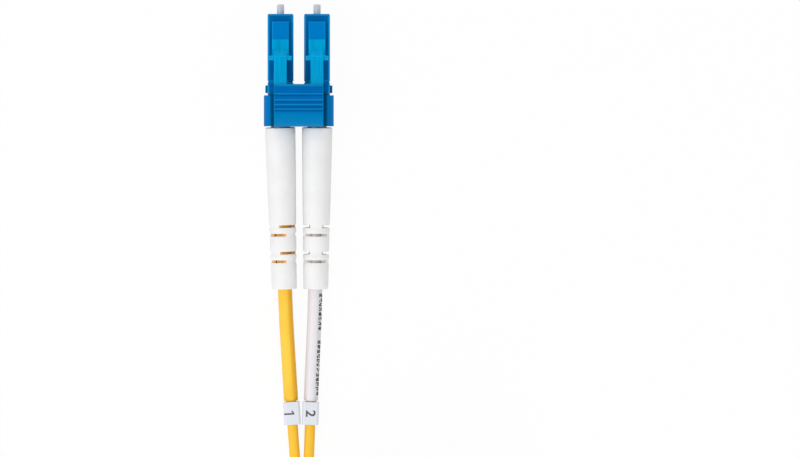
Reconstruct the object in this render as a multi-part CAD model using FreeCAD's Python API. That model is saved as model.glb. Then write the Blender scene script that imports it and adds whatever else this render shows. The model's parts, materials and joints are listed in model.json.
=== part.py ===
"""Duplex LC fibre connector on its patch cord.

Two LC plugs side by side in a duplex clip with a shared trigger, their boots and
marked legs, the zip cord wound in a long tied coil, and the same connector on its
far end, which lies on the coil.

Millimetres. +Y points the way the ferrules point, +Z is the latch side and X runs
across the pair. The origin is under the middle of the near connector, on the
surface that it lies on. Stations along a connector are counted back from its
ferrule tips, and levels are counted up from the ferrule axes.
"""

import FreeCAD, Part
import math
import os

V = FreeCAD.Vector

# ---- driving sizes ----
PITCH = 6.25                # between the two ferrule axes
SLIDE_GAP = 0.05            # radial gap of pieces that slide or snap into each other
HINGE_GAP = 0.02            # radial gap of a bending root in its groove

# ferrule, flange and what follows them inside the plug
FERRULE_R = 0.625
FERRULE_PROUD = 1.8         # tip ahead of the housing's nose
FERRULE_CHAMFER = 0.15
FERRULE_SHOULDER = 5.8      # where the press seat's slight taper begins
FERRULE_SEAT = 1.4          # length of that taper
FERRULE_SEAT_DROP = 0.025
FERRULE_TRAVEL = 0.8        # how far a mated ferrule is pushed back
FLANGE_NOSE_R = 0.95
FLANGE_NOSE = 0.7           # nose ahead of the hexagonal collar
FLANGE_FLATS = 2.5
FLANGE_COLLAR = 1.5
FLANGE_TUBE_R = 0.8
FLANGE_TUBE = 3.0
FIBRE_R = 0.45              # buffered fibre
SPRING_WIRE = 0.26
SPRING_TURNS = 5
GUIDE_WALL = 0.3

# front housing of one plug
BODY_WIDTH = 4.42
BODY_TOP = 2.05
BODY_BOTTOM = -2.25
BODY_CORNER = 0.3
BODY_EDGE = 0.18            # chamfer round the nose and along the parting line
CAVITY_R = 1.65             # mouth that takes the adapter's sleeve
CAVITY_DEPTH = 4.1
STOP_WALL = 0.8
HOUSING_END = 13.3
HOUSING_WALL = 0.46
WINDOW_START = 10.0
WINDOW_LENGTH = 1.0
WINDOW_TOP = 0.54
WINDOW_BOTTOM = -0.98

# latch
LATCH_ROOT_START = 3.0
LATCH_ROOT_END = 6.0
LATCH_ROOT_WIDTH = 2.86
LATCH_ROOT_HEIGHT = 1.11    # above the housing's top
LATCH_HINGE_R = 0.25
LATCH_STRIP_END = 8.3       # where the thin strip meets the thick lever
LATCH_WIDTH = 2.18
LATCH_SLOPE = 12.3          # degrees
LATCH_DEPTH = 1.27          # depth of the thick lever
LATCH_END = 14.94
LATCH_LIP_RISE = 0.42       # tail lip above the lever's outer line
EAR_START = 8.78
EAR_LENGTH = 0.86
EAR_WIDTH = 3.85
EAR_DEPTH = 0.95

# rear body
NOSE_SLEEVE_START = 9.6
BLOCK_END = 15.4
BARREL_R = 2.2
BARREL_END = 20.3
POST_R = 1.2
POST_LENGTH = 3.3
SPRING_SEAT = 14.5
LUG_START = 13.9
LUG_LENGTH = 1.3
LUG_PROUD = 0.42
LUG_TOP = -1.44
LUG_HEIGHT = 0.51

# crimp
YARN_WALL = 0.13
CRIMP_START = 20.7
CRIMP_LENGTH = 3.6
CRIMP_WALL = 0.29
CRIMP_NECK = 2.0
CRIMP_NECK_R = 1.35

# duplex clip and its trigger
CLIP_START = 15.6
CLIP_END = 20.9
CLIP_WALL = 0.61
CLIP_FLOOR_TOP = -2.33
CLIP_FLOOR = 0.63
CLIP_WINDOW_TOP = -0.35
FOOT_DROP = 0.32            # flared foot under the clip's floor
FOOT_LENGTH = 0.35
TRIGGER_WIDTH = 8.46
TRIGGER_HINGE = (20.72, 2.93)
TRIGGER_ROOT_R = 0.26
TRIGGER_RIBS = 4
TRIGGER_RIB_STEP = 0.93
TRIGGER_RIB_RISE = 0.2

# boots
BOOT_START = 21.1
BOOT_END = 48.8
BOOT_FRONT_R = 2.6
BOOT_REAR_R = 2.14
BOOT_GAP = 0.12             # round the sleeve that runs through it
BOOT_SLOTS = (37.8, 39.25, 42.35, 43.8)
BOOT_SLOT = 0.46
BOOT_WEB = 1.05             # half width of the webs that a slot leaves
BOOT_STEP = 0.07
BOOT_ROLL = {1: 45.0, 2: 0.0}

# legs, sleeves and markers
LEG_R = 0.9
LEG_START = 24.0
SLEEVE_R = 1.225
SLEEVE_START = 26.6
SLEEVE_END = 67.9
MARKER_START = 68.1
MARKER_LENGTH = 3.9
MARKER_WIDTH = 2.84
SPLIT = 88.0                # station where the two legs join into the zip cord

# zip cord, its long coil and the ties
ZIP_WIDTH = 3.7
COIL_OUTER_R = 14.7         # centreline of the outermost turn round the coil's ends
COIL_INNER_R = 11.2         # centreline of the innermost turn
COIL_RUN = 75.8             # straight run between the two ends
COIL_LEAD = 9.2             # from the near split to the coil's first run
COIL_LAYERS = 2
TAIL_REACH = 5.0            # how far before the last quarter turn the tail comes up
TIE_WIDTH = 3.0
TIE_WALL = 0.2
LEG_TIE_STATION = 79.5      # the tie that holds the far legs down on the coil

# ---- sizes worked out from them ----
AXIS_LEVEL = CLIP_FLOOR + FOOT_DROP - CLIP_FLOOR_TOP      # ferrule axis above the surface
TIP_Y = BOOT_END / 2
LATCH_HINGE = (LATCH_ROOT_END + 0.05, BODY_TOP + LATCH_ROOT_HEIGHT - LATCH_HINGE_R - 0.05)
COLLAR_START = FERRULE_PROUD + CAVITY_DEPTH + STOP_WALL
COLLAR_END = COLLAR_START + FLANGE_COLLAR
CHAMBER_R = BODY_WIDTH / 2 - HOUSING_WALL
FIBRE_BORE_R = FIBRE_R + SLIDE_GAP / 2
FLANGE_END = COLLAR_END + FLANGE_TUBE
SPRING_R = FLANGE_TUBE_R + SLIDE_GAP + SPRING_WIRE / 2
SPRING_BORE_R = SPRING_R + SPRING_WIRE / 2 + SLIDE_GAP
POST_END = BARREL_END + POST_LENGTH
GUIDE_R = FLANGE_TUBE_R
CRIMP_INNER_R = POST_R + YARN_WALL + 2 * HINGE_GAP
CRIMP_R = CRIMP_INNER_R + CRIMP_WALL
CRIMP_END = CRIMP_START + CRIMP_LENGTH
BOOT_POCKET_R = CRIMP_R + 3 * SLIDE_GAP
BOOT_POCKET_END = CRIMP_END + CRIMP_NECK + 0.1
CLIP_BORE_R = BARREL_R + SLIDE_GAP
CLIP_R = CLIP_BORE_R + CLIP_WALL
CORD_LEVEL = LEG_R + 0.02
ZIP_THICKNESS = 2 * LEG_R
COIL_BASE = TIE_WALL + SLIDE_GAP
COIL_TOP = COIL_BASE + COIL_LAYERS * ZIP_WIDTH
COIL_MIDDLE_R = (COIL_OUTER_R + COIL_INNER_R) / 2
LEG_SPACING = ZIP_WIDTH - ZIP_THICKNESS

# Route of each leg as (across, station, height of its centre above the surface)
LEG_ROUTES = {
    1: [(-PITCH / 2, LEG_START, AXIS_LEVEL), (-2.46, 49.5, 2.27), (-1.57, 64.0, 1.70),
        (-1.0, 73.5, 1.40), (-0.35, 82.0, CORD_LEVEL), (-0.35, SPLIT, CORD_LEVEL)],
    2: [(PITCH / 2, LEG_START, AXIS_LEVEL), (2.90, 49.5, 2.27), (2.20, 64.0, 1.70),
        (1.87, 73.5, 1.40), (1.55, 82.0, CORD_LEVEL), (1.55, SPLIT, CORD_LEVEL)],
}
SPLIT_X = (LEG_ROUTES[1][-1][0] + LEG_ROUTES[2][-1][0]) / 2
COIL_X = SPLIT_X + COIL_OUTER_R
COIL_HIGH_Y = TIP_Y - SPLIT - COIL_LEAD         # ends of the coil's straight runs
COIL_LOW_Y = COIL_HIGH_Y - COIL_RUN
FAR_X = COIL_X + COIL_MIDDLE_R - SPLIT_X        # the far connector lies on the second run
FAR_TIP_Y = COIL_LOW_Y + SPLIT
FAR_BASE = COIL_TOP + HINGE_GAP


# ---- helpers: x across, station back from the tips, level above the ferrule axis ----
def rod(x, start, end, radius, level=0.0):
    """A round bar along the plug."""
    return Part.makeCylinder(radius, end - start, V(x, -end, level), V(0, 1, 0))


def pipe(x, start, end, outer, inner):
    return rod(x, start, end, outer).cut(rod(x, start - 1, end + 1, inner))


def bar(x0, x1, start, end, low, high):
    """A rectangular block."""
    return Part.makeBox(x1 - x0, end - start, high - low, V(x0, -end, low))


def outline(moves):
    """A closed face in the plane x = 0. A pair is a straight run to (station, level),
    and four numbers are an arc through the first pair to the second."""
    points = [V(0, -move[-2], move[-1]) for move in moves]
    edges = []
    for i, move in enumerate(moves):
        start, end = points[i - 1], points[i]
        if len(move) == 4:
            middle = V(0, -move[0], move[1])
            edges.append(Part.Arc(start, middle, end).toShape())
        else:
            edges.append(Part.LineSegment(start, end).toShape())
    return Part.Face(Part.Wire(edges))


def slab(x, width, moves):
    """An outline drawn across the given width, centred on x."""
    face = outline(moves)
    face.translate(V(x - width / 2, 0, 0))
    return face.extrude(V(width, 0, 0))


def hexagon(x, start, end, flats):
    """A hexagonal bar along the plug."""
    corner = flats / math.sqrt(3)
    turns = [math.radians(60 * i) for i in range(7)]
    points = [V(x + corner * math.cos(t), -end, corner * math.sin(t)) for t in turns]
    return Part.Face(Part.makePolygon(points)).extrude(V(0, end - start, 0))


def edges_along(shape, direction):
    """The straight edges of a shape that run along a direction."""
    found = []
    for edge in shape.Edges:
        if isinstance(edge.Curve, Part.Line):
            if abs(abs(edge.tangentAt(edge.FirstParameter).dot(direction)) - 1) < 1e-6:
                found.append(edge)
    return found


def edges_at(shape, station):
    """The edges of a shape that lie in the plane of one station."""
    return [e for e in shape.Edges
            if abs(e.BoundBox.YMin + station) < 1e-6 and abs(e.BoundBox.YMax + station) < 1e-6]


def runs_and_arcs(points):
    """Straight runs joined by arcs as large as the runs allow, and the arcs' radii."""
    edges, radii, start = [], [], points[0]
    ends = (points[0], points[-1])
    for before, corner, after in zip(points, points[1:], points[2:]):
        arrive = (corner - before).normalize()
        leave = (after - corner).normalize()
        half_turn = arrive.getAngle(leave) / 2
        reach = min((corner - p).Length * (0.9 if p in ends else 0.45) for p in (before, after))
        radius = reach / math.tan(half_turn)
        inward = (leave - arrive).normalize()
        first, last = corner - arrive * reach, corner + leave * reach
        middle = corner + inward * (radius / math.cos(half_turn) - radius)
        edges.append(Part.LineSegment(start, first).toShape())
        edges.append(Part.Arc(first, middle, last).toShape())
        radii.append(radius)
        start = last
    edges.append(Part.LineSegment(start, points[-1]).toShape())
    return Part.Wire(edges), radii


def sweep_round(path, radius):
    """A round bar along a path of runs and arcs."""
    start = path.Edges[0]
    tangent = start.tangentAt(start.FirstParameter)
    circle = Part.Wire([Part.makeCircle(radius, path.Vertexes[0].Point, tangent)])
    return path.makePipeShell([circle], True, False)


def route_points(route):
    """A leg's route in the connector's own frame."""
    return [V(x, -station, height - AXIS_LEVEL) for x, station, height in route]


def route_point(points, station):
    """The point of a route at one station."""
    for a, b in zip(points, points[1:]):
        if -a.y <= station <= -b.y:
            return a + (b - a) * ((station + a.y) / (a.y - b.y))
    raise ValueError(f"station {station} is outside the route")


# ---- pieces of one plug, for the channel whose ferrule axis is at x ----
def ferrule(x):
    body = rod(x, 0, FERRULE_SHOULDER, FERRULE_R)
    body = body.makeChamfer(FERRULE_CHAMFER, edges_at(body, 0))
    seat = Part.makeCone(FERRULE_R - FERRULE_SEAT_DROP, FERRULE_R, FERRULE_SEAT,
                         V(x, -FERRULE_SHOULDER - FERRULE_SEAT, 0), V(0, 1, 0))
    return body.fuse(seat).removeSplitter()


def ferrule_flange(x):
    """Metal flange pressed on the ferrule: nose, hexagonal collar and rear tube."""
    nose = rod(x, COLLAR_START - FLANGE_NOSE, COLLAR_START, FLANGE_NOSE_R)
    collar = hexagon(x, COLLAR_START, COLLAR_END, FLANGE_FLATS)
    tube = rod(x, COLLAR_END, FLANGE_END, FLANGE_TUBE_R)
    body = nose.fuse([collar, tube])
    bore = rod(x, FERRULE_SHOULDER, FLANGE_END + 1, FIBRE_BORE_R)
    return body.cut(ferrule(x)).cut(bore).removeSplitter()


def ferrule_spring(x):
    """Coil spring between the flange's collar and the rear body's seat."""
    start, end = COLLAR_END + HINGE_GAP, SPRING_SEAT - HINGE_GAP
    rise = end - start - SPRING_WIRE
    helix = Part.makeHelix(rise / SPRING_TURNS, rise, SPRING_R)
    half = SPRING_WIRE / 2
    corners = [(-half, -half), (half, -half), (half, half), (-half, half)]
    points = [V(SPRING_R + a, 0, b) for a, b in corners + corners[:1]]
    wire = Part.Wire(helix).makePipeShell([Part.makePolygon(points)], True, True)
    wire.rotate(V(0, 0, 0), V(1, 0, 0), 90)
    wire.translate(V(x, -start - half, 0))
    return wire


def fibre(x):
    """Buffered fibre behind the ferrule, which moves with it."""
    return rod(x, FERRULE_SHOULDER + FERRULE_SEAT, POST_END - FERRULE_TRAVEL, FIBRE_R)


def guide_tube(x):
    start = FLANGE_END + 2 * FERRULE_TRAVEL
    return pipe(x, start, POST_END - 0.2, GUIDE_R, GUIDE_R - GUIDE_WALL)


def plug_housing(x):
    half = BODY_WIDTH / 2
    body = bar(x - half, x + half, FERRULE_PROUD, HOUSING_END, BODY_BOTTOM, BODY_TOP)
    body = body.makeFillet(BODY_CORNER, edges_along(body, V(0, 1, 0)))
    body = body.makeChamfer(BODY_EDGE, edges_at(body, FERRULE_PROUD) + edges_at(body, HOUSING_END))
    root_top = BODY_TOP + LATCH_ROOT_HEIGHT
    root = bar(x - LATCH_ROOT_WIDTH / 2, x + LATCH_ROOT_WIDTH / 2,
               LATCH_ROOT_START, LATCH_ROOT_END, BODY_TOP - 0.5, root_top)
    root = root.makeFillet(0.12, [e for e in edges_along(root, V(0, 1, 0))
                                  if e.BoundBox.ZMin > BODY_TOP])
    body = body.fuse(root)
    notch_r = 0.28
    notch = Part.makeCylinder(notch_r, BODY_WIDTH, V(x - half, -LATCH_ROOT_END, BODY_TOP + notch_r),
                              V(1, 0, 0))
    groove = Part.makeCylinder(LATCH_HINGE_R + HINGE_GAP, BODY_WIDTH,
                               V(x - half, -LATCH_HINGE[0], LATCH_HINGE[1]), V(1, 0, 0))
    body = body.cut([notch, groove])
    mouth = rod(x, 0, FERRULE_PROUD + CAVITY_DEPTH, CAVITY_R)
    stop_hole = rod(x, FERRULE_PROUD, COLLAR_START, FLANGE_NOSE_R + 2 * SLIDE_GAP)
    pocket = hexagon(x, COLLAR_START, COLLAR_END, FLANGE_FLATS + 2 * SLIDE_GAP)
    chamber = rod(x, COLLAR_START + FLANGE_COLLAR * 0.6, HOUSING_END + 1, CHAMBER_R)
    windows = bar(x - half - 1, x + half + 1, WINDOW_START, WINDOW_START + WINDOW_LENGTH,
                  WINDOW_BOTTOM, WINDOW_TOP)
    return body.cut([mouth, stop_hole, pocket, chamber, windows]).removeSplitter()


def lever_line(station, offset):
    """Level of a line along the latch lever, offset square to its slope."""
    slope = math.radians(LATCH_SLOPE)
    return LATCH_HINGE[1] + (station - LATCH_HINGE[0]) * math.tan(slope) + offset / math.cos(slope)


def latch_lever(x):
    """Cantilever latch: thin bending strip, thick lever with two ears, and a tail lip."""
    inner, outer = -LATCH_HINGE_R, LATCH_HINGE_R
    deep = inner + LATCH_DEPTH
    root = LATCH_HINGE[0]
    tail = LATCH_END
    strip_top = LATCH_STRIP_END
    moves = [
        (root, lever_line(root, inner)),
        (tail - 1.45, lever_line(tail - 1.45, inner)),
        (tail - 0.85, lever_line(tail - 0.85, inner) + 0.25),
        (tail - 0.24, lever_line(tail - 0.24, inner) + 0.2),
        (tail - 0.06, lever_line(tail, inner) + 0.24, tail, lever_line(tail, inner) + 0.42),
        (tail, lever_line(tail, deep) + LATCH_LIP_RISE - 0.3),
        (tail - 0.08, lever_line(tail, deep) + LATCH_LIP_RISE - 0.07,
         tail - 0.32, lever_line(tail, deep) + LATCH_LIP_RISE),
        (tail - 0.8, lever_line(tail - 0.8, deep)),
        (strip_top + 0.64, lever_line(strip_top + 0.64, deep)),
        (strip_top, lever_line(strip_top, outer)),
        (root, lever_line(root, outer)),
    ]
    lever = slab(x, LATCH_WIDTH, moves)
    strip = slab(x, LATCH_ROOT_WIDTH, [
        (root, lever_line(root, inner)), (strip_top - 0.5, lever_line(strip_top - 0.5, inner)),
        (strip_top - 0.5, lever_line(strip_top - 0.5, outer)), (root, lever_line(root, outer))])
    pin = Part.makeCylinder(LATCH_HINGE_R, LATCH_ROOT_WIDTH,
                            V(x - LATCH_ROOT_WIDTH / 2, -root, LATCH_HINGE[1]), V(1, 0, 0))
    ear_end = EAR_START + EAR_LENGTH
    ears = slab(x, EAR_WIDTH, [
        (EAR_START - 0.3, lever_line(EAR_START - 0.3, inner)), (ear_end, lever_line(ear_end, inner)),
        (ear_end, lever_line(ear_end, inner + EAR_DEPTH)),
        (EAR_START, lever_line(EAR_START, inner + EAR_DEPTH))])
    return lever.fuse([strip, pin, ears]).removeSplitter()


def rear_body(x):
    """Rear half of the plug: nose sleeve that snaps into the housing, block, barrel and post."""
    half = BODY_WIDTH / 2
    nose = rod(x, NOSE_SLEEVE_START, HOUSING_END, CHAMBER_R - SLIDE_GAP)
    block = bar(x - half, x + half, HOUSING_END, BLOCK_END, BODY_BOTTOM, BODY_TOP)
    block = block.makeFillet(BODY_CORNER, edges_along(block, V(0, 1, 0)))
    block = block.makeChamfer(BODY_EDGE, edges_at(block, HOUSING_END))
    barrel = rod(x, BLOCK_END, BARREL_END, BARREL_R)
    post = rod(x, BARREL_END, POST_END, POST_R)
    tab_low, tab_high = WINDOW_BOTTOM + 0.25, WINDOW_TOP - 0.25
    tab_back = WINDOW_START + WINDOW_LENGTH - SLIDE_GAP
    tabs = bar(x - half + 0.05, x + half - 0.05, tab_back - 0.55, tab_back, tab_low, tab_high)
    lugs = bar(x - half - LUG_PROUD, x + half + LUG_PROUD, LUG_START, LUG_START + LUG_LENGTH,
               LUG_TOP - LUG_HEIGHT, LUG_TOP)
    body = nose.fuse([block, barrel, post, tabs, lugs])
    spring_bore = rod(x, NOSE_SLEEVE_START - 1, SPRING_SEAT, SPRING_BORE_R)
    tube_bore = rod(x, SPRING_SEAT - 1, POST_END + 1, GUIDE_R + HINGE_GAP)
    return body.cut([spring_bore, tube_bore]).removeSplitter()


def aramid_yarn(x):
    """The cord's yarn, folded back and trapped between post and crimp sleeve."""
    return pipe(x, CRIMP_START + 0.2, POST_END - 0.1, POST_R + HINGE_GAP + YARN_WALL,
                POST_R + HINGE_GAP)


def crimp_sleeve(x):
    """Metal sleeve crimped over the yarn, with a neck over the cord's jacket."""
    wide = pipe(x, CRIMP_START, CRIMP_END, CRIMP_R, CRIMP_INNER_R)
    neck_bore = CRIMP_NECK_R - CRIMP_WALL
    neck = pipe(x, CRIMP_END, CRIMP_END + CRIMP_NECK, CRIMP_NECK_R, neck_bore)
    shoulder = pipe(x, CRIMP_END - CRIMP_WALL, CRIMP_END, CRIMP_R, neck_bore)
    return wide.fuse([shoulder, neck]).removeSplitter()


def boot_radius(station):
    """Outer radius of the boot, which necks in a little ahead of its slots."""
    share = (station - BOOT_START) / (BOOT_END - BOOT_START)
    drop = BOOT_FRONT_R - BOOT_REAR_R
    return BOOT_FRONT_R - drop * (0.62 * share + 0.38 * math.sin(share * math.pi / 2) ** 2)


def boot(x, channel):
    """Strain relief boot with four staggered rows of slots, each row cut from two sides."""
    stations = [BOOT_START, BOOT_START + 9]
    for first, second in (BOOT_SLOTS[:2], BOOT_SLOTS[2:]):
        stations += [first, second]
    outer = [V(0, -BOOT_START, 0)]
    outer.append(V(boot_radius(BOOT_START) - 0.15, -BOOT_START, 0))
    outer.append(V(boot_radius(BOOT_START), -BOOT_START - 0.15, 0))
    outer.append(V(boot_radius(stations[1]), -stations[1], 0))
    for station in (BOOT_SLOTS[0], BOOT_SLOTS[2]):
        back = station + BOOT_SLOT
        outer.append(V(boot_radius(back) + BOOT_STEP, -back, 0))
        outer.append(V(boot_radius(back), -back, 0))
    outer.append(V(BOOT_REAR_R, -BOOT_END + 0.1, 0))
    outer.append(V(BOOT_REAR_R - 0.1, -BOOT_END, 0))
    outer.append(V(0, -BOOT_END, 0))
    outer.append(outer[0])
    body = Part.Face(Part.makePolygon(outer)).revolve(V(0, 0, 0), V(0, 1, 0), 360)
    bore_r = SLEEVE_R + BOOT_GAP
    pocket = rod(0, BOOT_START - 1, BOOT_POCKET_END, BOOT_POCKET_R)
    throat = Part.makeCone(bore_r, BOOT_POCKET_R, 1.5, V(0, -BOOT_POCKET_END - 1.5, 0), V(0, 1, 0))
    body = body.cut([pocket, throat, rod(0, BOOT_START, BOOT_END + 1, bore_r)])
    for row, station in enumerate(BOOT_SLOTS):
        reach = 2 * BOOT_FRONT_R
        for side in (-1, 1):
            low, high = sorted((side * BOOT_WEB, side * reach))
            cut = bar(low, high, station, station + BOOT_SLOT, -reach, reach)
            cut.rotate(V(0, 0, 0), V(0, 1, 0), BOOT_ROLL[channel] + 90 * (row % 2))
            body = body.cut(cut)
    body.translate(V(x, 0, 0))
    return along_leg(body, channel)


def along_leg(shape, channel):
    """Turn a piece made on the ferrule axis so that it follows the leg's first run."""
    start, after = route_points(LEG_ROUTES[channel])[:2]
    run = after - start
    droop = math.degrees(math.asin(-run.z / run.Length))
    lean = math.degrees(math.atan2(run.x, -run.y))
    shape.rotate(start, V(1, 0, 0), droop)
    shape.rotate(start, V(0, 0, 1), lean)
    return shape


def leg_sleeve(channel):
    """Coloured sleeve over the leg, from inside the boot to the marker."""
    path, _ = runs_and_arcs(route_points(LEG_ROUTES[channel]))
    outer = sweep_round(path, SLEEVE_R)
    inner = sweep_round(path, LEG_R + SLIDE_GAP)
    keep = bar(-20, 20, SLEEVE_START, SLEEVE_END, -20, 20)
    return outer.common(keep).cut(inner)


def marker_sleeve(channel):
    """Squarish clip-on marker round the leg."""
    points = route_points(LEG_ROUTES[channel])
    start = route_point(points, MARKER_START)
    end = route_point(points, MARKER_START + MARKER_LENGTH)
    half = MARKER_WIDTH / 2
    body = Part.makeBox(MARKER_WIDTH, MARKER_LENGTH, MARKER_WIDTH, V(-half, -MARKER_LENGTH, -half))
    body = body.makeFillet(0.45, edges_along(body, V(0, 1, 0)))
    body = body.cut(rod(0, -1, MARKER_LENGTH + 1, LEG_R + SLIDE_GAP))
    run = end - start
    body.rotate(V(0, 0, 0), V(1, 0, 0), math.degrees(math.asin(-run.z / run.Length)))
    body.rotate(V(0, 0, 0), V(0, 0, 1), math.degrees(math.atan2(run.x, -run.y)))
    body.translate(start)
    return body


def leg_cord(channel):
    path, radii = runs_and_arcs(route_points(LEG_ROUTES[channel]))
    print("leg", channel, "length", round(path.Length, 1), "radii", [round(r, 1) for r in radii])
    return sweep_round(path, LEG_R)


# ---- the clip that holds the two plugs ----
def duplex_clip():
    """Two open rings joined by a middle web, with a floor, a flared foot and a hinge land."""
    centre = PITCH / 2
    rings = [rod(side * centre, CLIP_START, CLIP_END, CLIP_R) for side in (-1, 1)]
    floor_low = CLIP_FLOOR_TOP - CLIP_FLOOR
    web = bar(-centre, centre, CLIP_START, CLIP_END, floor_low, CLIP_R)
    reach = centre + math.sqrt(CLIP_R ** 2 - CLIP_FLOOR_TOP ** 2)
    floor = bar(-reach, reach, CLIP_START, CLIP_END, floor_low, CLIP_FLOOR_TOP)
    foot_end = CLIP_END - 0.2
    foot = slab(0, 2 * reach, [
        (foot_end - FOOT_LENGTH - 1.2, floor_low), (foot_end - FOOT_LENGTH, floor_low - FOOT_DROP),
        (foot_end, floor_low - FOOT_DROP), (CLIP_END, floor_low)])
    land = bar(-TRIGGER_WIDTH / 2, TRIGGER_WIDTH / 2, TRIGGER_HINGE[0] - 0.9, CLIP_END,
               CLIP_R - CLIP_WALL - 0.2, CLIP_R)
    body = rings[0].fuse([rings[1], web, floor, foot, land])
    for side in (-1, 1):
        body = body.cut(rod(side * centre, CLIP_START - 1, CLIP_END + 1, CLIP_BORE_R))
        low, high = sorted((side * centre, side * (centre + 2 * CLIP_R)))
        body = body.cut(bar(low, high, CLIP_START - 1, CLIP_END + 1, CLIP_FLOOR_TOP, CLIP_WINDOW_TOP))
    groove = Part.makeCylinder(TRIGGER_ROOT_R + HINGE_GAP, 2 * PITCH,
                               V(-PITCH, -TRIGGER_HINGE[0], TRIGGER_HINGE[1]), V(1, 0, 0))
    return body.cut(groove).removeSplitter()


def clip_trigger():
    """Curved trigger: thin springy band up from the clip, ribbed pad and a front lip."""
    hinge, level, r = TRIGGER_HINGE[0], TRIGGER_HINGE[1], TRIGGER_ROOT_R
    ribs = []
    for i in range(TRIGGER_RIBS):
        station = hinge - 2.45 - TRIGGER_RIB_STEP * i
        top = level + 3.0 + 0.27 * i
        ribs.append((station + 0.12, top))
        ribs.append((station - 0.05, top + TRIGGER_RIB_RISE))
    moves = [
        (hinge - r, level),
        (hinge - 0.55, level + 1.0, hinge - 1.42, level + 1.77),
        (hinge - 3.3, level + 1.68),
        (hinge - 4.37, level + 2.06),
        (hinge - 5.64, level + 3.17),
        (hinge - 5.77, level + 3.4),
        (hinge - 6.77, level + 3.4),
        (hinge - 6.74, level + 3.7, hinge - 6.35, level + 3.87),
    ] + ribs[::-1] + [
        (hinge - 1.59, level + 2.84),
        (hinge - 0.37, level + 1.73, hinge + r, level),
    ]
    trigger = slab(0, TRIGGER_WIDTH, moves)
    root = Part.makeCylinder(r, TRIGGER_WIDTH, V(-TRIGGER_WIDTH / 2, -hinge, level), V(1, 0, 0))
    return trigger.fuse(root).removeSplitter()


# ---- one whole connector, in its own frame ----
CHANNEL_PIECES = {
    "ferrule": ferrule,
    "ferrule_flange": ferrule_flange,
    "ferrule_spring": ferrule_spring,
    "fibre": fibre,
    "guide_tube": guide_tube,
    "plug_housing": plug_housing,
    "latch_lever": latch_lever,
    "rear_body": rear_body,
    "aramid_yarn": aramid_yarn,
    "crimp_sleeve": crimp_sleeve,
}
LEG_PIECES = {
    "leg_sleeve": leg_sleeve,
    "marker_sleeve": marker_sleeve,
    "leg_cord": leg_cord,
}
SHARED_FAR_NODES = ("guide_tube", "aramid_yarn", "crimp_sleeve", "leg_sleeve", "marker_sleeve")


def connector():
    """Every piece of a duplex connector by node name."""
    pieces = {"duplex_clip": duplex_clip(), "clip_trigger": clip_trigger()}
    for channel, x in ((1, -PITCH / 2), (2, PITCH / 2)):
        for name, make in CHANNEL_PIECES.items():
            pieces[f"{name}_{channel}"] = make(x)
        pieces[f"boot_{channel}"] = boot(x, channel)
        for name, make in LEG_PIECES.items():
            pieces[f"{name}_{channel}"] = make(channel)
    return pieces


def far_nodes(pieces):
    """The far connector's nodes: pieces that only sit still share a node per kind."""
    nodes = {}
    for name, shape in pieces.items():
        kind = name.rsplit("_", 1)[0]
        if kind in SHARED_FAR_NODES:
            nodes.setdefault(f"far_{kind}s", []).append(shape)
        else:
            nodes[f"far_{name}"] = [shape]
    return {name: shapes[0] if len(shapes) == 1 else Part.makeCompound(shapes)
            for name, shapes in nodes.items()}


# ---- zip cord, coil and tie, in the part's frame ----
def zip_section(centre, along, up):
    """Flat section of the zip cord, its two round sides as half circles."""
    side = along.cross(up).normalize()
    reach, r = LEG_SPACING / 2, ZIP_THICKNESS / 2
    a, b = centre + side * reach + up * r, centre + side * reach - up * r
    c, d = centre - side * reach - up * r, centre - side * reach + up * r
    return Part.Wire([
        Part.Arc(a, centre + side * (reach + r), b).toShape(), Part.LineSegment(b, c).toShape(),
        Part.Arc(c, centre - side * (reach + r), d).toShape(), Part.LineSegment(d, a).toShape()])


def zip_run(name, points, binormal):
    path, radii = runs_and_arcs(points)
    print(name, "length", round(path.Length, 1), "radii", [round(r, 1) for r in radii])
    along = (points[1] - points[0]).normalize()
    up = V(0, 0, 1) if abs(binormal.z) > 0.5 else along.cross(binormal).normalize()
    sweep = Part.BRepOffsetAPI.MakePipeShell(path)
    sweep.setBiNormalMode(binormal)
    sweep.add(zip_section(points[0], along, up))
    sweep.build()
    sweep.makeSolid()
    return sweep.shape()


def zip_lead():
    """From the near split to the coil's first run."""
    return zip_run("zip lead", [V(SPLIT_X, TIP_Y - SPLIT, CORD_LEVEL),
                                V(SPLIT_X, COIL_HIGH_Y, CORD_LEVEL)], V(0, 0, 1))


def zip_tail():
    """Up out of the coil's last end turn, and along its top to the far split."""
    r, level = COIL_MIDDLE_R, FAR_BASE + CORD_LEVEL
    corner = r * math.tan(math.pi / 8)
    points = [V(COIL_X - TAIL_REACH, COIL_LOW_Y - r, level - 2.4),
              V(COIL_X + corner, COIL_LOW_Y - r, level - 0.7),
              V(COIL_X + r, COIL_LOW_Y - corner, level), V(COIL_X + r, COIL_LOW_Y, level)]
    return zip_run("zip tail", points, V(0, 0, 1))


def long_round(radius, low, high):
    """A block with half-round ends, as long as the coil's runs."""
    middle = Part.makeBox(2 * radius, COIL_RUN, high - low, V(COIL_X - radius, COIL_LOW_Y, low))
    ends = [Part.makeCylinder(radius, high - low, V(COIL_X, y, low))
            for y in (COIL_LOW_Y, COIL_HIGH_Y)]
    return middle.fuse(ends).removeSplitter()


def cord_coil():
    """Outer shape of the wound cord."""
    half = ZIP_THICKNESS / 2
    ring = long_round(COIL_OUTER_R + half, COIL_BASE, COIL_TOP)
    ring = ring.cut(long_round(COIL_INNER_R - half, COIL_BASE, COIL_TOP))
    flat = [e for e in ring.Edges if abs(e.BoundBox.ZMax - e.BoundBox.ZMin) < 1e-6]
    return ring.makeChamfer(0.6, flat)


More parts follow.
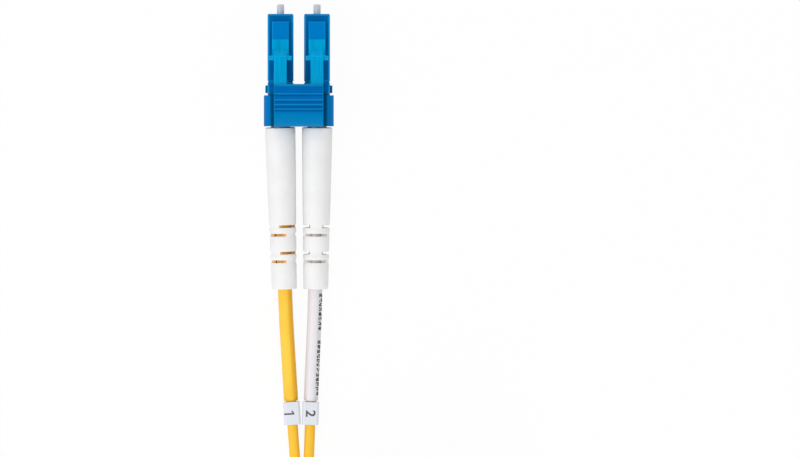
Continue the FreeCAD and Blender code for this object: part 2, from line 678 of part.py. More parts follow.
def tie_round(y, side, high):
    """Flat tie round one of the coil's straight runs and what lies on it."""
    near = COIL_X + side * (COIL_INNER_R - ZIP_THICKNESS / 2)
    far = COIL_X + side * (COIL_OUTER_R + ZIP_THICKNESS / 2)
    left, right = sorted((near, far))
    bands = []
    for wall in (SLIDE_GAP, SLIDE_GAP + TIE_WALL):
        bands.append(Part.makeBox(right - left + 2 * wall, TIE_WIDTH, high - COIL_BASE + 2 * wall,
                                  V(left - wall, y - TIE_WIDTH / 2, COIL_BASE - wall)))
    hole, band = bands
    band = band.makeFillet(TIE_WALL / 2, edges_along(band, V(0, 1, 0)))
    return band.cut(hole)


def coil_tie():
    return tie_round((COIL_LOW_Y + COIL_HIGH_Y) / 2, -1, COIL_TOP)


def leg_tie():
    tops = [route_point(route_points(LEG_ROUTES[k]), LEG_TIE_STATION - TIE_WIDTH / 2).z + LEG_R
            for k in LEG_ROUTES]
    return tie_round(FAR_TIP_Y - LEG_TIE_STATION, 1, FAR_BASE + AXIS_LEVEL + max(tops))


# ---- the whole part ----
def all_nodes():
    nodes = {}
    for name, shape in connector().items():
        shape.translate(V(0, TIP_Y, AXIS_LEVEL))
        nodes[name] = shape
    for name, shape in far_nodes(connector()).items():
        shape.translate(V(FAR_X, FAR_TIP_Y, FAR_BASE + AXIS_LEVEL))
        nodes[name] = shape
    nodes["zip_lead"] = zip_lead()
    nodes["zip_tail"] = zip_tail()
    nodes["cord_coil"] = cord_coil()
    nodes["coil_tie"] = coil_tie()
    nodes["leg_tie"] = leg_tie()
    return nodes


def main():
    os.makedirs("parts", exist_ok=True)
    for name, shape in all_nodes().items():
        shape.exportStep(f"parts/{name}.step")


main()
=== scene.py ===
"""Looks of a duplex LC fibre connector: two latching plugs in a clip with a trigger,
slotted boots, numbered legs and a twin cord wound in a tied coil, with the same
connector on its far end.

Sizes are millimetres until a mesh is placed, stations count back from the ferrule
tips, and levels count up from the ferrule axes, as in the part's own source.
"""

import json
import math

import bmesh
import bpy
from mathutils import Matrix, Vector


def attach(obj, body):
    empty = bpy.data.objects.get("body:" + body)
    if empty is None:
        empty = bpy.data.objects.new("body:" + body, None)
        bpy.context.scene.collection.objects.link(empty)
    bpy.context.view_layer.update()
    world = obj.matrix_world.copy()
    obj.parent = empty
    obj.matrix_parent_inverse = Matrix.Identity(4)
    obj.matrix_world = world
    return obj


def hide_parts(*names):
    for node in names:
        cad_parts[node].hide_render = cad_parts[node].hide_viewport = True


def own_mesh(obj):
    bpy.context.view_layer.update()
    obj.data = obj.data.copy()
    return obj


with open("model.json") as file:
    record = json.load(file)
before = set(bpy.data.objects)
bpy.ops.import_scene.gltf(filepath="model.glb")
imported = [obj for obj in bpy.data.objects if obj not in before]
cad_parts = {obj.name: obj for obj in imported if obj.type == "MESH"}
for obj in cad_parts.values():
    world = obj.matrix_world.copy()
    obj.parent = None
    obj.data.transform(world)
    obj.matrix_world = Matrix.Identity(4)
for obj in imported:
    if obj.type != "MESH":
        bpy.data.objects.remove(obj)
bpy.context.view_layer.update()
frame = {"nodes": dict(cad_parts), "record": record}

bl_info = {
    "name": "Duplex fibre connector looks",
    "version": (1, 0, 0),
    "blender": (4, 5, 0),
    "location": "View3D > Sidebar > Fibre",
    "description": "Dresses a packed duplex LC connector and its cord",
    "category": "Object",
}

NODES = frame["nodes"]
BODY_OF = {node: body for body, nodes in frame["record"]["behaviour"]["bodies"].items()
           for node in nodes}

MM = 0.001
UP = Vector((0, 0, 1))
ENDS = ("", "far_")
CHANNELS = (1, 2)

# the part's own sizes and routes
PITCH = 6.25
AXIS_X = {1: -PITCH / 2, 2: PITCH / 2}
AXIS_LEVEL = 3.28
TIP_Y = 24.4
LEG_START, SPLIT = 24.0, 88.0
CORD_LEVEL = 0.92
COIL_X = 15.3
COIL_HIGH_Y, COIL_LOW_Y = -72.8, -148.6         # ends of the coil's straight runs
COIL_RADIUS = 12.95                             # of its rounded ends, on average
HALF_TURNS, BEND_POINTS = 7, 8                  # made by the cord, and points in each bend
FAR_TIP = (27.65, -60.6, 10.95)                 # the far connector lies on the second run
ZIP_LANES = [               # turns made, radius round the coil's ends, height
    (0.0, 14.7, 2.1), (0.33, 14.7, 2.1), (1.0, 12.9, 2.1), (1.33, 12.9, 2.1), (2.0, 11.1, 2.1),
    (2.33, 11.1, 2.1), (2.5, 11.1, 5.8), (2.55, 11.1, 5.8), (2.72, 12.95, 5.8),
    (3.38, 12.95, 5.8), (3.48, 12.95, 8.59), (3.5, 12.95, 8.59)]
LEG_ROUTES = {              # sideways place, station, level above the floor
    1: [(AXIS_X[1], LEG_START, AXIS_LEVEL), (-2.46, 49.5, 2.27), (-1.57, 64.0, 1.70),
        (-1.0, 73.5, 1.40), (-0.35, 82.0, CORD_LEVEL), (-0.35, SPLIT, CORD_LEVEL)],
    2: [(AXIS_X[2], LEG_START, AXIS_LEVEL), (2.90, 49.5, 2.27), (2.20, 64.0, 1.70),
        (1.87, 73.5, 1.40), (1.55, 82.0, CORD_LEVEL), (1.55, SPLIT, CORD_LEVEL)],
}
PLACES = {
    "": Matrix.Translation((0, TIP_Y, AXIS_LEVEL)),
    "far_": Matrix.Translation(FAR_TIP),
}

# plugs, latches and triggers
NOSE_MOVES = [(1.7, 1.57), (2.05, 1.92), (2.6, 2.6)]    # stations before and after
RIB_MOVES = [(13.8, 13.57), (14.4, 14.17), (14.9, 14.88), (15.48, 15.42), (16.41, 16.47),
             (17.34, 17.28), (18.27, 18.04), (19.4, 19.4)]
# stations of painted shade bands behind the trigger's ribs
GROOVES = [(15.68, 0.15), (16.77, 0.19), (17.61, 0.22), (18.27, 0.15)]  # and half widths
SLOPE_START, SLOPE_FULL = 18.3, 18.9            # painted highlight on the trigger's rear end
RAISED_LEVEL = 2.24                             # plug faces over this one take a painted highlight
# the clip is painted darker inside its recess: a painted shade
CLIP_RECESS = 5.0                               # how far aside the clip's recess reaches
# the thin lever's upper faces behind this take a painted sheen
THIN_START = 5.87                               # where the latch is thin from
EAR_START, EAR_END, EAR_ASIDE = 8.35, 8.95, 1.2  # stations of its ears, and how far aside
EAR_FRONT, EAR_LEAN = 8.805, 0.3                # where they come forward to
WING_SIZE, WING_PLACE = (0.44, 1.1, 0.46), (1.2, -8.26, 3.31)
WING_SLOPE = math.radians(12.3)

# boots
BOOT_START, BOOT_END = 21.1, 48.8
BOOT_EDGE, BOOT_ROUNDING = 0.16, 0.05           # on its ends, and on its slots
BOOT_FRONT_R, BOOT_REAR_R = 2.6, 2.14
BOOT_SLOTS = (37.8, 39.25, 42.35, 43.8)
BOOT_SLOT, BOOT_WEB, BOOT_STEP = 0.46, 1.05, 0.07
BOOT_ROLL = {1: 45.0, 2: 0.0}                   # degrees that a channel's slots are turned
BOOT_BORE, BOOT_POCKET, BOOT_POCKET_END = 1.345, 1.85, 26.4

# ferrules and springs
ON_AXIS, FIBRE_RADIUS, PIN_RADIUS = 0.0004, 0.0625, 0.625
FERRULE_PROFILE = [(0.0, ON_AXIS), (0.0, FIBRE_RADIUS), (0.0, 0.25), (0.0, 0.46),
                   (0.02, 0.485), (0.13, 0.605), (0.17, PIN_RADIUS), (1.2, PIN_RADIUS),
                   (5.8, PIN_RADIUS), (7.2, 0.6), (7.2, ON_AXIS)]
SPRING_START, SPRING_SEAT = 8.22, 14.48
SPRING_TURNS, SPRING_RADIUS, SPRING_WIRE, SPRING_TRAVEL = 5.0, 0.98, 0.13, 0.8

# sleeves, print and markers
SLEEVE_START, SLEEVE_END = 26.6, 67.9
SLEEVE_RADIUS, SLEEVE_BORE, SLEEVE_EDGE = 1.225, 0.95, 0.04
SLEEVE_SLOTS = {1: "sleeve_yellow", 2: "sleeve_white"}
PRINT_START, PRINT_END, PRINT_LENGTH = 49.6, 67.3, 17.4
PRINT_LIFT, PRINT_ANGLE = 0.007, 2.62           # over the sleeve, and round it
PRINT_COLUMNS, PRINT_ROWS, PRINT_PITCH = 88, 5, 0.2
LETTER_COLUMNS, WORD_COLUMNS = 4, 8
PRINT_FILL, PRINT_WORDS, PRINT_SEED = 0.68, 0.8, 79     # shares that are printed
DOT_RADIUS, DOT_DEPTH = 0.115, 0.03
MARKER_START, MARKER_END, MARKER_TOP = 68.1, 72.0, 1.42
DIGIT_LIFT, DIGIT_DEPTH, DIGIT_WIDER = 0.008, 0.012, 1.08
DIGIT_ASIDE = {1: -0.42, 2: -0.05}
FONT_SIZE, FONT_BOLD = 1.34, 0.035              # of a letter one high, and its thickening
ONE = [(0.1, -0.5), (0.1, 0.5), (-0.02, 0.5), (-0.26, 0.32), (-0.26, 0.2), (-0.04, 0.33),
       (-0.04, -0.5)]                           # corners of a 1 that is one high

# the twin cord's section, and where it stands up on its edge
LOBE_POINTS, WEB_ANGLE = 15, 22
FLAT_LENGTH, RISE_LENGTH = 3, 17                # before its end it turns flat again

# the stage
LAMP_SIZE, SENSOR = 0.4, 36.0
LAMPS = [("key", (-0.48, 0.0, 0.6), 1.0), ("head", (0.0, 0.65, 0.375), 0.8),
         ("foot", (0.0, -0.68, 0.34), 1.8)]     # name, place and share of the key's power
CAMERA_X, CAMERA_Y = 17.33, -14.0
FLOOR_REACH = 4                                 # metres


# ---- materials ----
def srgb(red, green, blue):
    """A colour picked on screen, 0 to 255, as the linear one that shaders take."""
    share = [c / 255 for c in (red, green, blue)]
    return [c / 12.92 if c <= 0.04045 else ((c + 0.055) / 1.055) ** 2.4 for c in share] + [1.0]


class Socket:
    """An output inside a node tree. Sums written with it become Math nodes."""

    def __init__(self, owner, socket):
        self.owner, self.socket = owner, socket

    def sum(self, operation, *values):
        return self.owner.sum(operation, *values)

    def __add__(self, other):
        return self.sum("ADD", self, other)

    def __sub__(self, other):
        return self.sum("SUBTRACT", self, other)

    def __rsub__(self, other):
        return self.sum("SUBTRACT", other, self)

    def __mul__(self, other):
        return self.sum("MULTIPLY", self, other)

    def __truediv__(self, other):
        return self.sum("DIVIDE", self, other)

    def __gt__(self, other):
        return self.sum("GREATER_THAN", self, other)

    def __lt__(self, other):
        return self.sum("LESS_THAN", self, other)

    def __mod__(self, other):
        return self.sum("FLOORED_MODULO", self, other)

    def __abs__(self):
        return self.sum("ABSOLUTE", self)


class Tree:
    """A node tree, and the ways in which nodes are added to it."""

    def __init__(self, tree):
        self.tree = tree

    def plug(self, socket, value):
        if isinstance(value, Socket):
            self.tree.links.new(value.socket, socket)
        else:
            socket.default_value = value

    def node(self, kind, settings, *values, output=0, **named):
        """A node with its settings, the values or links of its first inputs, and named ones."""
        made = self.tree.nodes.new(kind)
        for key, value in settings.items():
            setattr(made, key, value)
        for key, value in [*enumerate(values), *named.items()]:
            self.plug(made.inputs[key], value)
        return Socket(self, made.outputs[output])

    def sum(self, operation, *values):
        return self.node("ShaderNodeMath", {"operation": operation}, *values)

    def parts(self, vector):
        split = self.node("ShaderNodeSeparateXYZ", {}, vector)
        return [Socket(self, out) for out in split.socket.node.outputs]

    def seen_directly(self):
        """1 for rays from the camera, and for what metal and glass mirror, else 0."""
        path = self.node("ShaderNodeLightPath", {}, output="Is Camera Ray")
        outs = path.socket.node.outputs
        glossy, through = (Socket(self, outs[n])
                           for n in ("Is Glossy Ray", "Is Transmission Ray"))
        return self.sum("MINIMUM", path + glossy + through, 1.0)


class Finish(Tree):
    """One material, built from its shader outwards."""

    def __init__(self, name, colour, roughness, metallic=0.0, coat=0.0):
        self.material = bpy.data.materials.new(name)
        self.material.use_nodes = True
        super().__init__(self.material.node_tree)
        self.shader = next(n for n in self.tree.nodes if n.type == "BSDF_PRINCIPLED")
        self.material.diffuse_color = colour
        self.feed("Base Color", colour)
        self.feed("Roughness", roughness)
        self.feed("Metallic", metallic)
        self.feed("Coat Weight", coat)

    def feed(self, name, value):
        self.plug(self.shader.inputs[name], value)

    def glints(self, tint, level):
        """Colour and strength of what a plastic mirrors."""
        self.feed("Specular Tint", tint)
        self.feed("Specular IOR Level", level)

    def place(self, centre=(0, 0, 0), turn=(0, 0, 0), stretch=(1, 1, 1)):
        """Coordinates in millimetres from a centre."""
        raw = self.node("ShaderNodeTexCoord", {}, output="Object")
        moved = self.node("ShaderNodeMapping", {"vector_type": "TEXTURE"}, raw,
                          Location=[c * MM for c in centre], Rotation=turn)
        return self.node("ShaderNodeMapping", {}, moved, Scale=[s / MM for s in stretch])

    def along(self):
        """Millimetres along a piece and turns around it."""
        return self.parts(self.node("ShaderNodeTexCoord", {}, output="UV"))[:2]

    def upward(self):
        """1 on faces that look up, 0 on sides and undersides."""
        normal = self.node("ShaderNodeTexCoord", {}, output="Normal")
        return self.span(self.parts(normal)[2], 0.3, 0.6)

    def noise(self, where, scale, detail=2.0, rough=0.5):
        return self.node("ShaderNodeTexNoise", {}, where, output="Fac",
                         Scale=scale, Detail=detail, Roughness=rough)

    def span(self, value, low, high, to_low=0.0, to_high=1.0):
        return self.node("ShaderNodeMapRange", {"clamp": True}, value, low, high,
                         to_low, to_high)

    def mix(self, first, second, share):
        """A colour between two."""
        made = self.tree.nodes.new("ShaderNodeMix")
        made.data_type = "RGBA"
        for index, value in ((0, share), (6, first), (7, second)):
            self.plug(made.inputs[index], value)
        return Socket(self, made.outputs[2])

    def vary(self, colour, dark, light, share):
        """A colour between a darker and a lighter shade of itself."""
        return self.mix(shade(colour, dark), shade(colour, light), share)

    def sheen(self, grain, low, high, marks=None):
        """Roughness that follows a grain, and is higher over marks."""
        rough = self.span(grain, 0.3, 0.7, low, high)
        self.feed("Roughness", rough + marks * 0.12 if marks else rough)

    def bump(self, height, depth_mm, strength=1.0):
        self.feed("Normal", self.node("ShaderNodeBump", {}, Height=height,
                                      Distance=depth_mm * MM, Strength=strength))


def shade(colour, factor):
    return [c * factor for c in colour[:3]] + [1.0]


# ---- meshes ----
class Rework:
    """A mesh opened for a change to its points, edges and faces, and closed after it."""

    def __init__(self, mesh):
        self.mesh, self.work = mesh, bmesh.new()

    def __enter__(self):
        self.work.from_mesh(self.mesh)
        return self.work

    def __exit__(self, *fault):
        self.work.to_mesh(self.mesh)
        self.work.free()


def mesh_of(name, vertices, faces, uvs=None):
    """A mesh from points in metres, its faces turned outwards."""
    mesh = bpy.data.meshes.new(name)
    mesh.from_pydata([tuple(v) for v in vertices], [], faces)
    if uvs:
        layer = mesh.uv_layers.new(name="along")
        for corner, uv in zip(layer.data, uvs):
            corner.uv = uv
    with Rework(mesh) as work:
        bmesh.ops.recalc_face_normals(work, faces=work.faces)
    return mesh


def smooth(mesh, limit=40.0):
    """Shade a mesh smooth except over edges sharper than the limit in degrees."""
    sharpest = math.radians(limit)
    with Rework(mesh) as work:
        for face in work.faces:
            face.smooth = True
        for edge in work.edges:
            edge.smooth = len(edge.link_faces) == 2 and edge.calc_face_angle(0) < sharpest
    return mesh


def skin(name, rings, place=Matrix(), closed=False, scale=MM):
    """A tube through rings of points, with UVs in millimetres along and turns around.
    A closed one joins its last ring to its first, and an open one gets end faces."""
    count = len(rings[0])
    vertices = [place @ p * scale for ring in rings for p in ring]
    along = [0.0]
    for before, after in zip(rings, rings[1:]):
        along.append(along[-1] + (after[0] - before[0]).length)
    faces, uvs = [], []
    for i in range(len(rings) if closed else len(rings) - 1):
        j = (i + 1) % len(rings)
        far = along[j] if j else along[i] + 1
        for k in range(count):
            n = (k + 1) % count
            faces.append([i * count + k, i * count + n, j * count + n, j * count + k])
            uvs += [(along[i], k / count), (along[i], (k + 1) / count),
                    (far, (k + 1) / count), (far, k / count)]
    if not closed:
        for i in (0, len(rings) - 1):
            faces.append([i * count + k for k in range(count)])
            uvs += [(along[i], k / count) for k in range(count)]
    return smooth(mesh_of(name, vertices, faces, uvs))


def result_of(obj):
    """The mesh that an object's modifiers make, and the object is gone."""
    mesh = bpy.data.meshes.new_from_object(
        obj.evaluated_get(bpy.context.evaluated_depsgraph_get()))
    bpy.data.objects.remove(obj)
    return mesh


def linked(name, data):
    obj = bpy.data.objects.new(name, data)
    bpy.context.scene.collection.objects.link(obj)
    return obj


def welded(node):
    """A CAD node's mesh again, its loose triangles joined and its flat faces whole."""
    source = NODES[node].data
    mesh = bpy.data.meshes.new(node)
    mesh.from_pydata([v.co[:] for v in source.vertices], [],
                     [p.vertices[:] for p in source.polygons])
    with Rework(mesh) as work:
        bmesh.ops.remove_doubles(work, verts=work.verts, dist=0.002 * MM)
        bmesh.ops.dissolve_limit(work, angle_limit=math.radians(0.6), verts=work.verts,
                                 edges=work.edges)
    return mesh


def eased(node, radius, least=0.6):
    """A welded copy of a CAD node with its longer outer edges rounded, as a mould leaves
    them. These faces, and the strips of the fillets, take the second material slot, which
    on the mouldings holds a painted highlight."""
    mesh = welded(node)
    least, room, strip = least * MM, 2.2 * radius * MM, 0.06 * MM
    sharpest = math.radians(34.0)
    with Rework(mesh) as work:
        sharp = [e for e in work.edges
                 if e.is_convex and e.calc_length() > least and e.calc_face_angle(0) > sharpest
                 and min(f.calc_area() for f in e.link_faces) > room * e.calc_length()]
        for face in work.faces:
            longest = max(e.calc_length() for e in face.edges)
            face.material_index = (longest > least and face.calc_area() < strip * longest
                                   and all(e.is_convex for e in face.edges
                                           if e.calc_length() > longest * 0.9))
        bmesh.ops.bevel(work, geom=sharp, offset=radius * MM, offset_type="OFFSET",
                        segments=2, profile=0.5, affect="EDGES", material=1)
    for _ in range(2):
        mesh.materials.append(None)
    return smooth(mesh, 48.0)


def wear(name, mesh, finish, *nodes, body=None, slot=None, edge=None):
    """Make a mesh a piece: it stands for the nodes, and rides on their body."""
    mesh.name = name
    obj = linked(name, mesh)
    rounded = [p.material_index for p in mesh.polygons]
    mesh.materials.clear()
    mesh.materials.append(finish)
    # a second finish goes on rounded or inner faces: a painted highlight on moulded edges,
    # painted light inside a boot
    if edge:
        mesh.materials.append(edge)
    mesh.polygons.foreach_set("material_index",
                              rounded if edge else [0] * len(mesh.polygons))
    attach(obj, body or BODY_OF[nodes[0]])
    if nodes:
        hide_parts(*nodes)
    return obj


# ---- lines and cords ----
def between(rows, at):
    """What rows of numbers say at a value of their first one, or None outside them."""
    for (low, *before), (high, *after) in zip(rows, rows[1:]):
        if low <= at <= high:
            share = (at - low) / (high - low)
            return [b + (a - b) * share for b, a in zip(before, after)]
    return None


def slide_along(mesh, end, moves):
    """Moves a mesh's points along the plug, by pairs of stations before and after."""
    front = PLACES[end].translation.y
    for v in mesh.vertices:
        moved = between(moves, front - v.co.y / MM)
        if moved:
            v.co.y = (front - moved[0]) * MM
    return mesh


def at_station(line, station):
    """The point at a station on a line in a connector's own frame."""
    return Vector(between([(-p.y, *p) for p in line], station))


def stretch_of(line, first, last):
    """The part of a connector's line between two stations, with its ends cut square."""
    kept = [p for p in line if first < -p.y < last]
    return [at_station(line, first), *kept, at_station(line, last)]


def route_curve(name, points, place=Matrix(), scale=MM):
    """A smooth open curve with these control points."""
    curve = bpy.data.curves.new(name, "CURVE")
    curve.dimensions = "3D"
    spline = curve.splines.new("NURBS")
    spline.points.add(len(points) - 1)
    for point, co in zip(spline.points, points):
        point.co = (*(place @ co * scale), 1.0)
    spline.order_u = 3
    spline.use_endpoint_u = True
    spline.resolution_u = 10
    return curve


def line_of(points):
    """The points that a smooth curve with these control points runs through."""
    obj = linked("line", route_curve("line", points, scale=1.0))
    mesh = bpy.data.meshes.new_from_object(obj)
    line = [v.co.copy() for v in mesh.vertices]
    bpy.data.objects.remove(obj)
    return line


def local_route(channel):
    """A leg's control points in its connector's own frame."""
    return [Vector((x, -station, height - AXIS_LEVEL))
            for x, station, height in LEG_ROUTES[channel]]


def directions(line):
    """Each point of a line with its sideways and its upward direction."""
    found = []
    for i, point in enumerate(line):
        ahead, behind = line[min(i + 1, len(line) - 1)], line[max(i - 1, 0)]
        side = (ahead - behind).cross(UP).normalized()
        found.append((point, side, side.cross(ahead - behind).normalized()))
    return found


def zip_route():
    """Control points of the twin cord: round its long coil in two layers, and out on top."""
    mid_x = (LEG_ROUTES[1][-1][0] + LEG_ROUTES[2][-1][0]) / 2
    points = [(mid_x, TIP_Y - SPLIT, CORD_LEVEL), (mid_x, COIL_HIGH_Y, CORD_LEVEL)]
    run = COIL_HIGH_Y - COIL_LOW_Y
    run_share = run / (2 * run + 2 * math.pi * COIL_RADIUS)     # of one turn
    outside = 1 / math.cos(math.pi / 2 / BEND_POINTS)           # the curve cuts its corners
    for half in range(HALF_TURNS):
        side, far_y = (1, COIL_HIGH_Y) if half % 2 else (-1, COIL_LOW_Y)
        for f in (0.25, 0.5, 0.75):
            radius, height = between(ZIP_LANES, half / 2 + run_share * f)
            points.append((COIL_X + side * radius, far_y - side * run * (1 - f), height))
        for i in range(BEND_POINTS):
            f = (i + 0.5) / BEND_POINTS
            radius, height = between(ZIP_LANES, half / 2 + run_share + (0.5 - run_share) * f)
            points.append((COIL_X + side * radius * outside * math.cos(math.pi * f),
                           far_y + side * radius * outside * math.sin(math.pi * f), height))
    radius, height = ZIP_LANES[-1][1:]
    return [Vector(p) for p in points + [(COIL_X + radius, COIL_LOW_Y, height)]]


# ---- finishes ----
def moulded(name, colour, rough=0.38, origin=(0, 0, 0), thin=None, raised=None, recess=None,
            lines=(), gloss=0.14, slope=None):
    """Moulded blue plastic: satin skin from the mould, a slow change of tone, fine scuffs.
    Painted light: the thin lever's upper faces take a painted sheen, raised faces and the
    trigger's rear slope a painted highlight, and the clip's recess and bands behind the ribs
    a painted shade. Places count from the origin, a ferrule tip."""
    paint = Finish(name, colour, rough)
    paint.glints(srgb(0, 225, 255), gloss)
    where = paint.place()
    tone = paint.noise(where, 0.3, 3.0)
    grain = paint.noise(where, 11.0, 3.0, 0.6)
    scuff = paint.noise(paint.place(turn=(0, 0, 0.6), stretch=(1, 9, 3)), 1.4, 4.0, 0.7)
    marks = paint.span(scuff, 0.62, 0.72)
    base = paint.vary(colour, 0.92, 1.08, tone)
    x, y, z = paint.parts(paint.place(centre=origin))
    up = paint.upward()
    # painted highlight: plug faces over the raised level take the lighter latch tone
    if raised:
        base = paint.mix(base, raised, paint.span(z, RAISED_LEVEL, RAISED_LEVEL + 0.08))
    # painted sheen: the thin lever's upper faces take a lighter, streaked tone
    if thin:
        drawn = paint.noise(paint.place(stretch=(2.6, 0.05, 0.6)), 1.6, 2.0, 0.5)
        sheen_tone = paint.vary(thin, 0.84, 1.08, paint.span(drawn, 0.3, 0.6))
        arm = paint.span(y, 0.08 - THIN_START, -0.08 - THIN_START)
        base = paint.mix(base, sheen_tone, arm * up)
    # painted shade: the clip darkens inside the recess, beside and under the trigger
    if recess:
        aside = paint.span(abs(x), recess, recess - 0.35)
        base = paint.mix(base, shade(colour, 0.35), aside)
    # painted highlight: the trigger's rear slope is lighter where it catches the lamps
    if slope:
        base = paint.mix(base, slope, paint.span(y, -SLOPE_START, -SLOPE_FULL))
    # painted shade: dark bands on upward faces behind each rib
    for station, half in lines:
        groove_shade = paint.span(abs(y + station), half, half * 0.55)
        base = paint.mix(base, shade(colour, 0.7), groove_shade * up)
    paint.feed("Base Color", paint.mix(base, shade(thin or colour, 1.3), marks * 0.2))
    paint.sheen(grain, rough - 0.06, rough + 0.08, marks)
    paint.bump(grain + marks * -0.4, 0.012)
    return paint.material


def elastomer(name, colour):
    """Soft white boot: even and slightly chalky, with a trace of handling dust."""
    paint = Finish(name, colour, 0.5)
    where = paint.place()
    cloud = paint.noise(where, 0.22, 4.0, 0.6)
    skin_grain = paint.noise(where, 16.0, 2.0)
    paint.feed("Base Color", paint.vary(colour, 0.955, 1, paint.span(cloud, 0.35, 0.6)))
    paint.sheen(skin_grain, 0.46, 0.6)
    paint.bump(skin_grain, 0.01, 0.7)
    return paint.material


def jacket(name, colour):
    """Extruded cord jacket: satin, with draw lines and slightly uneven pigment."""
    paint = Finish(name, colour, 0.45)
    paint.glints(srgb(255, 226, 150), 0.3)
    where = paint.place()
    pigment = paint.noise(where, 0.45, 3.0)
    orange_peel = paint.noise(where, 5.0, 2.0)
    fine = paint.noise(where, 20.0, 1.0)
    paint.feed("Base Color", paint.vary(colour, 0.92, 1.05, pigment))
    paint.sheen(fine, 0.36, 0.5)
    paint.bump(orange_peel + fine * 0.5, 0.012, 0.8)
    return paint.material


def tube_skin(name, colour, deep):
    """Shrunk sleeve: colour deepens in slow bands, a painted shade darkens its right side, and a
    thin gloss lies over it.
    """
    paint = Finish(name, colour, 0.36, coat=0.05)
    paint.glints(shade(colour, 1.0), 0.35)
    where = paint.place()
    band = paint.noise(where, 0.16, 3.0)
    ripple = paint.noise(where, 3.5, 2.0)
    _, turn = paint.along()
    # painted shade: a band from the top round to the right side takes the deep tone
    flank_shade = paint.span(turn, 0.29, 0.33) * paint.span(turn, 0.74, 0.7)
    tone = paint.mix(colour, deep, paint.span(band, 0.45, 0.8) * 0.5)
    paint.feed("Base Color", paint.mix(tone, deep, flank_shade * 0.85))
    paint.sheen(ripple, 0.28, 0.42)
    paint.bump(ripple, 0.02, 0.6)
    return paint.material


def zirconia(colour):
    """Ground ceramic, polished at the tip, where the fibre's end shows as a dot."""
    paint = Finish("zirconia", colour, 0.3, coat=0.1)
    along, _ = paint.along()
    ground = paint.noise(paint.place(stretch=(1, 30, 1)), 2.0, 3.0)
    cloud = paint.noise(paint.place(), 1.2, 2.0)
    paint.feed("Base Color", paint.mix(paint.vary(colour, 0.96, 1, cloud),
                                       srgb(88, 96, 104), along < FIBRE_RADIUS))
    paint.sheen(ground, 0.24, 0.36)
    paint.bump(ground, 0.004, 0.5)
    return paint.material


def metal(name, colour, rough, streak=(1, 1, 1)):
    """Turned or drawn metal with fine tool lines."""
    paint = Finish(name, colour, rough, metallic=1.0)
    lines = paint.noise(paint.place(stretch=streak), 6.0, 3.0, 0.6)
    stain = paint.noise(paint.place(), 0.8, 3.0)
    paint.feed("Base Color", paint.vary(colour, 0.8, 1, paint.span(stain, 0.3, 0.6)))
    paint.sheen(lines, rough - 0.08, rough + 0.12)
    paint.bump(lines, 0.01)
    return paint.material


def plain(name, colour, rough):
    """Small plastic parts: even colour, faint mottling and a fine skin."""
    paint = Finish(name, colour, rough)
    where = paint.place()
    mottle = paint.noise(where, 0.9, 3.0)
    fine = paint.noise(where, 12.0, 2.0)
    paint.feed("Base Color", paint.vary(colour, 0.94, 1.03, mottle))
    paint.sheen(fine, rough - 0.06, rough + 0.1)
    paint.bump(fine, 0.01, 0.7)
    return paint.material


def yarn_fibres(colour):
    """Aramid yarn: fine golden strands laid along the post."""
    paint = Finish("aramid", colour, 0.45)
    strands = paint.noise(paint.place(stretch=(6, 0.4, 6)), 4.0, 3.0, 0.7)
    paint.feed("Base Color", paint.vary(colour, 0.6, 1.2, strands))
    paint.sheen(strands, 0.35, 0.6)
    paint.bump(strands, 0.05)
    return paint.material


def strap_weave(colour):
    """Woven strap of the coil's tie: a plain weave of fine ribs."""
    paint = Finish("strap_weave", colour, 0.7)
    x, y, z = paint.parts(paint.place(turn=(0, 0, math.pi / 4)))
    warp = abs((y * 2.6) % 1.0 - 0.5) * 2.0
    weft = abs(((x + z) * 3.4) % 1.0 - 0.5) * 2.0
    over = (y * 2.6) % 2.0 > 1.0
    cloth = warp * over + weft * (1 - over)
    fuzz = paint.noise(paint.place(), 9.0, 3.0, 0.7)
    paint.feed("Base Color", paint.vary(colour, 0.72, 1, cloth * 0.7 + fuzz * 0.3))
    paint.sheen(fuzz, 0.62, 0.85)
    paint.bump(cloth + fuzz * 0.4, 0.05)
    return paint.material


def ink(name, colour):
    """Printed ink, a little thin in places."""
    paint = Finish(name, colour, 0.6)
    thin = paint.noise(paint.place(), 7.0, 3.0, 0.7)
    paint.feed("Base Color", paint.vary(colour, 1, 2.2, paint.span(thin, 0.45, 0.8)))
    paint.sheen(thin, 0.5, 0.75)
    paint.bump(thin, 0.004)
    return paint.material


MADE = {}


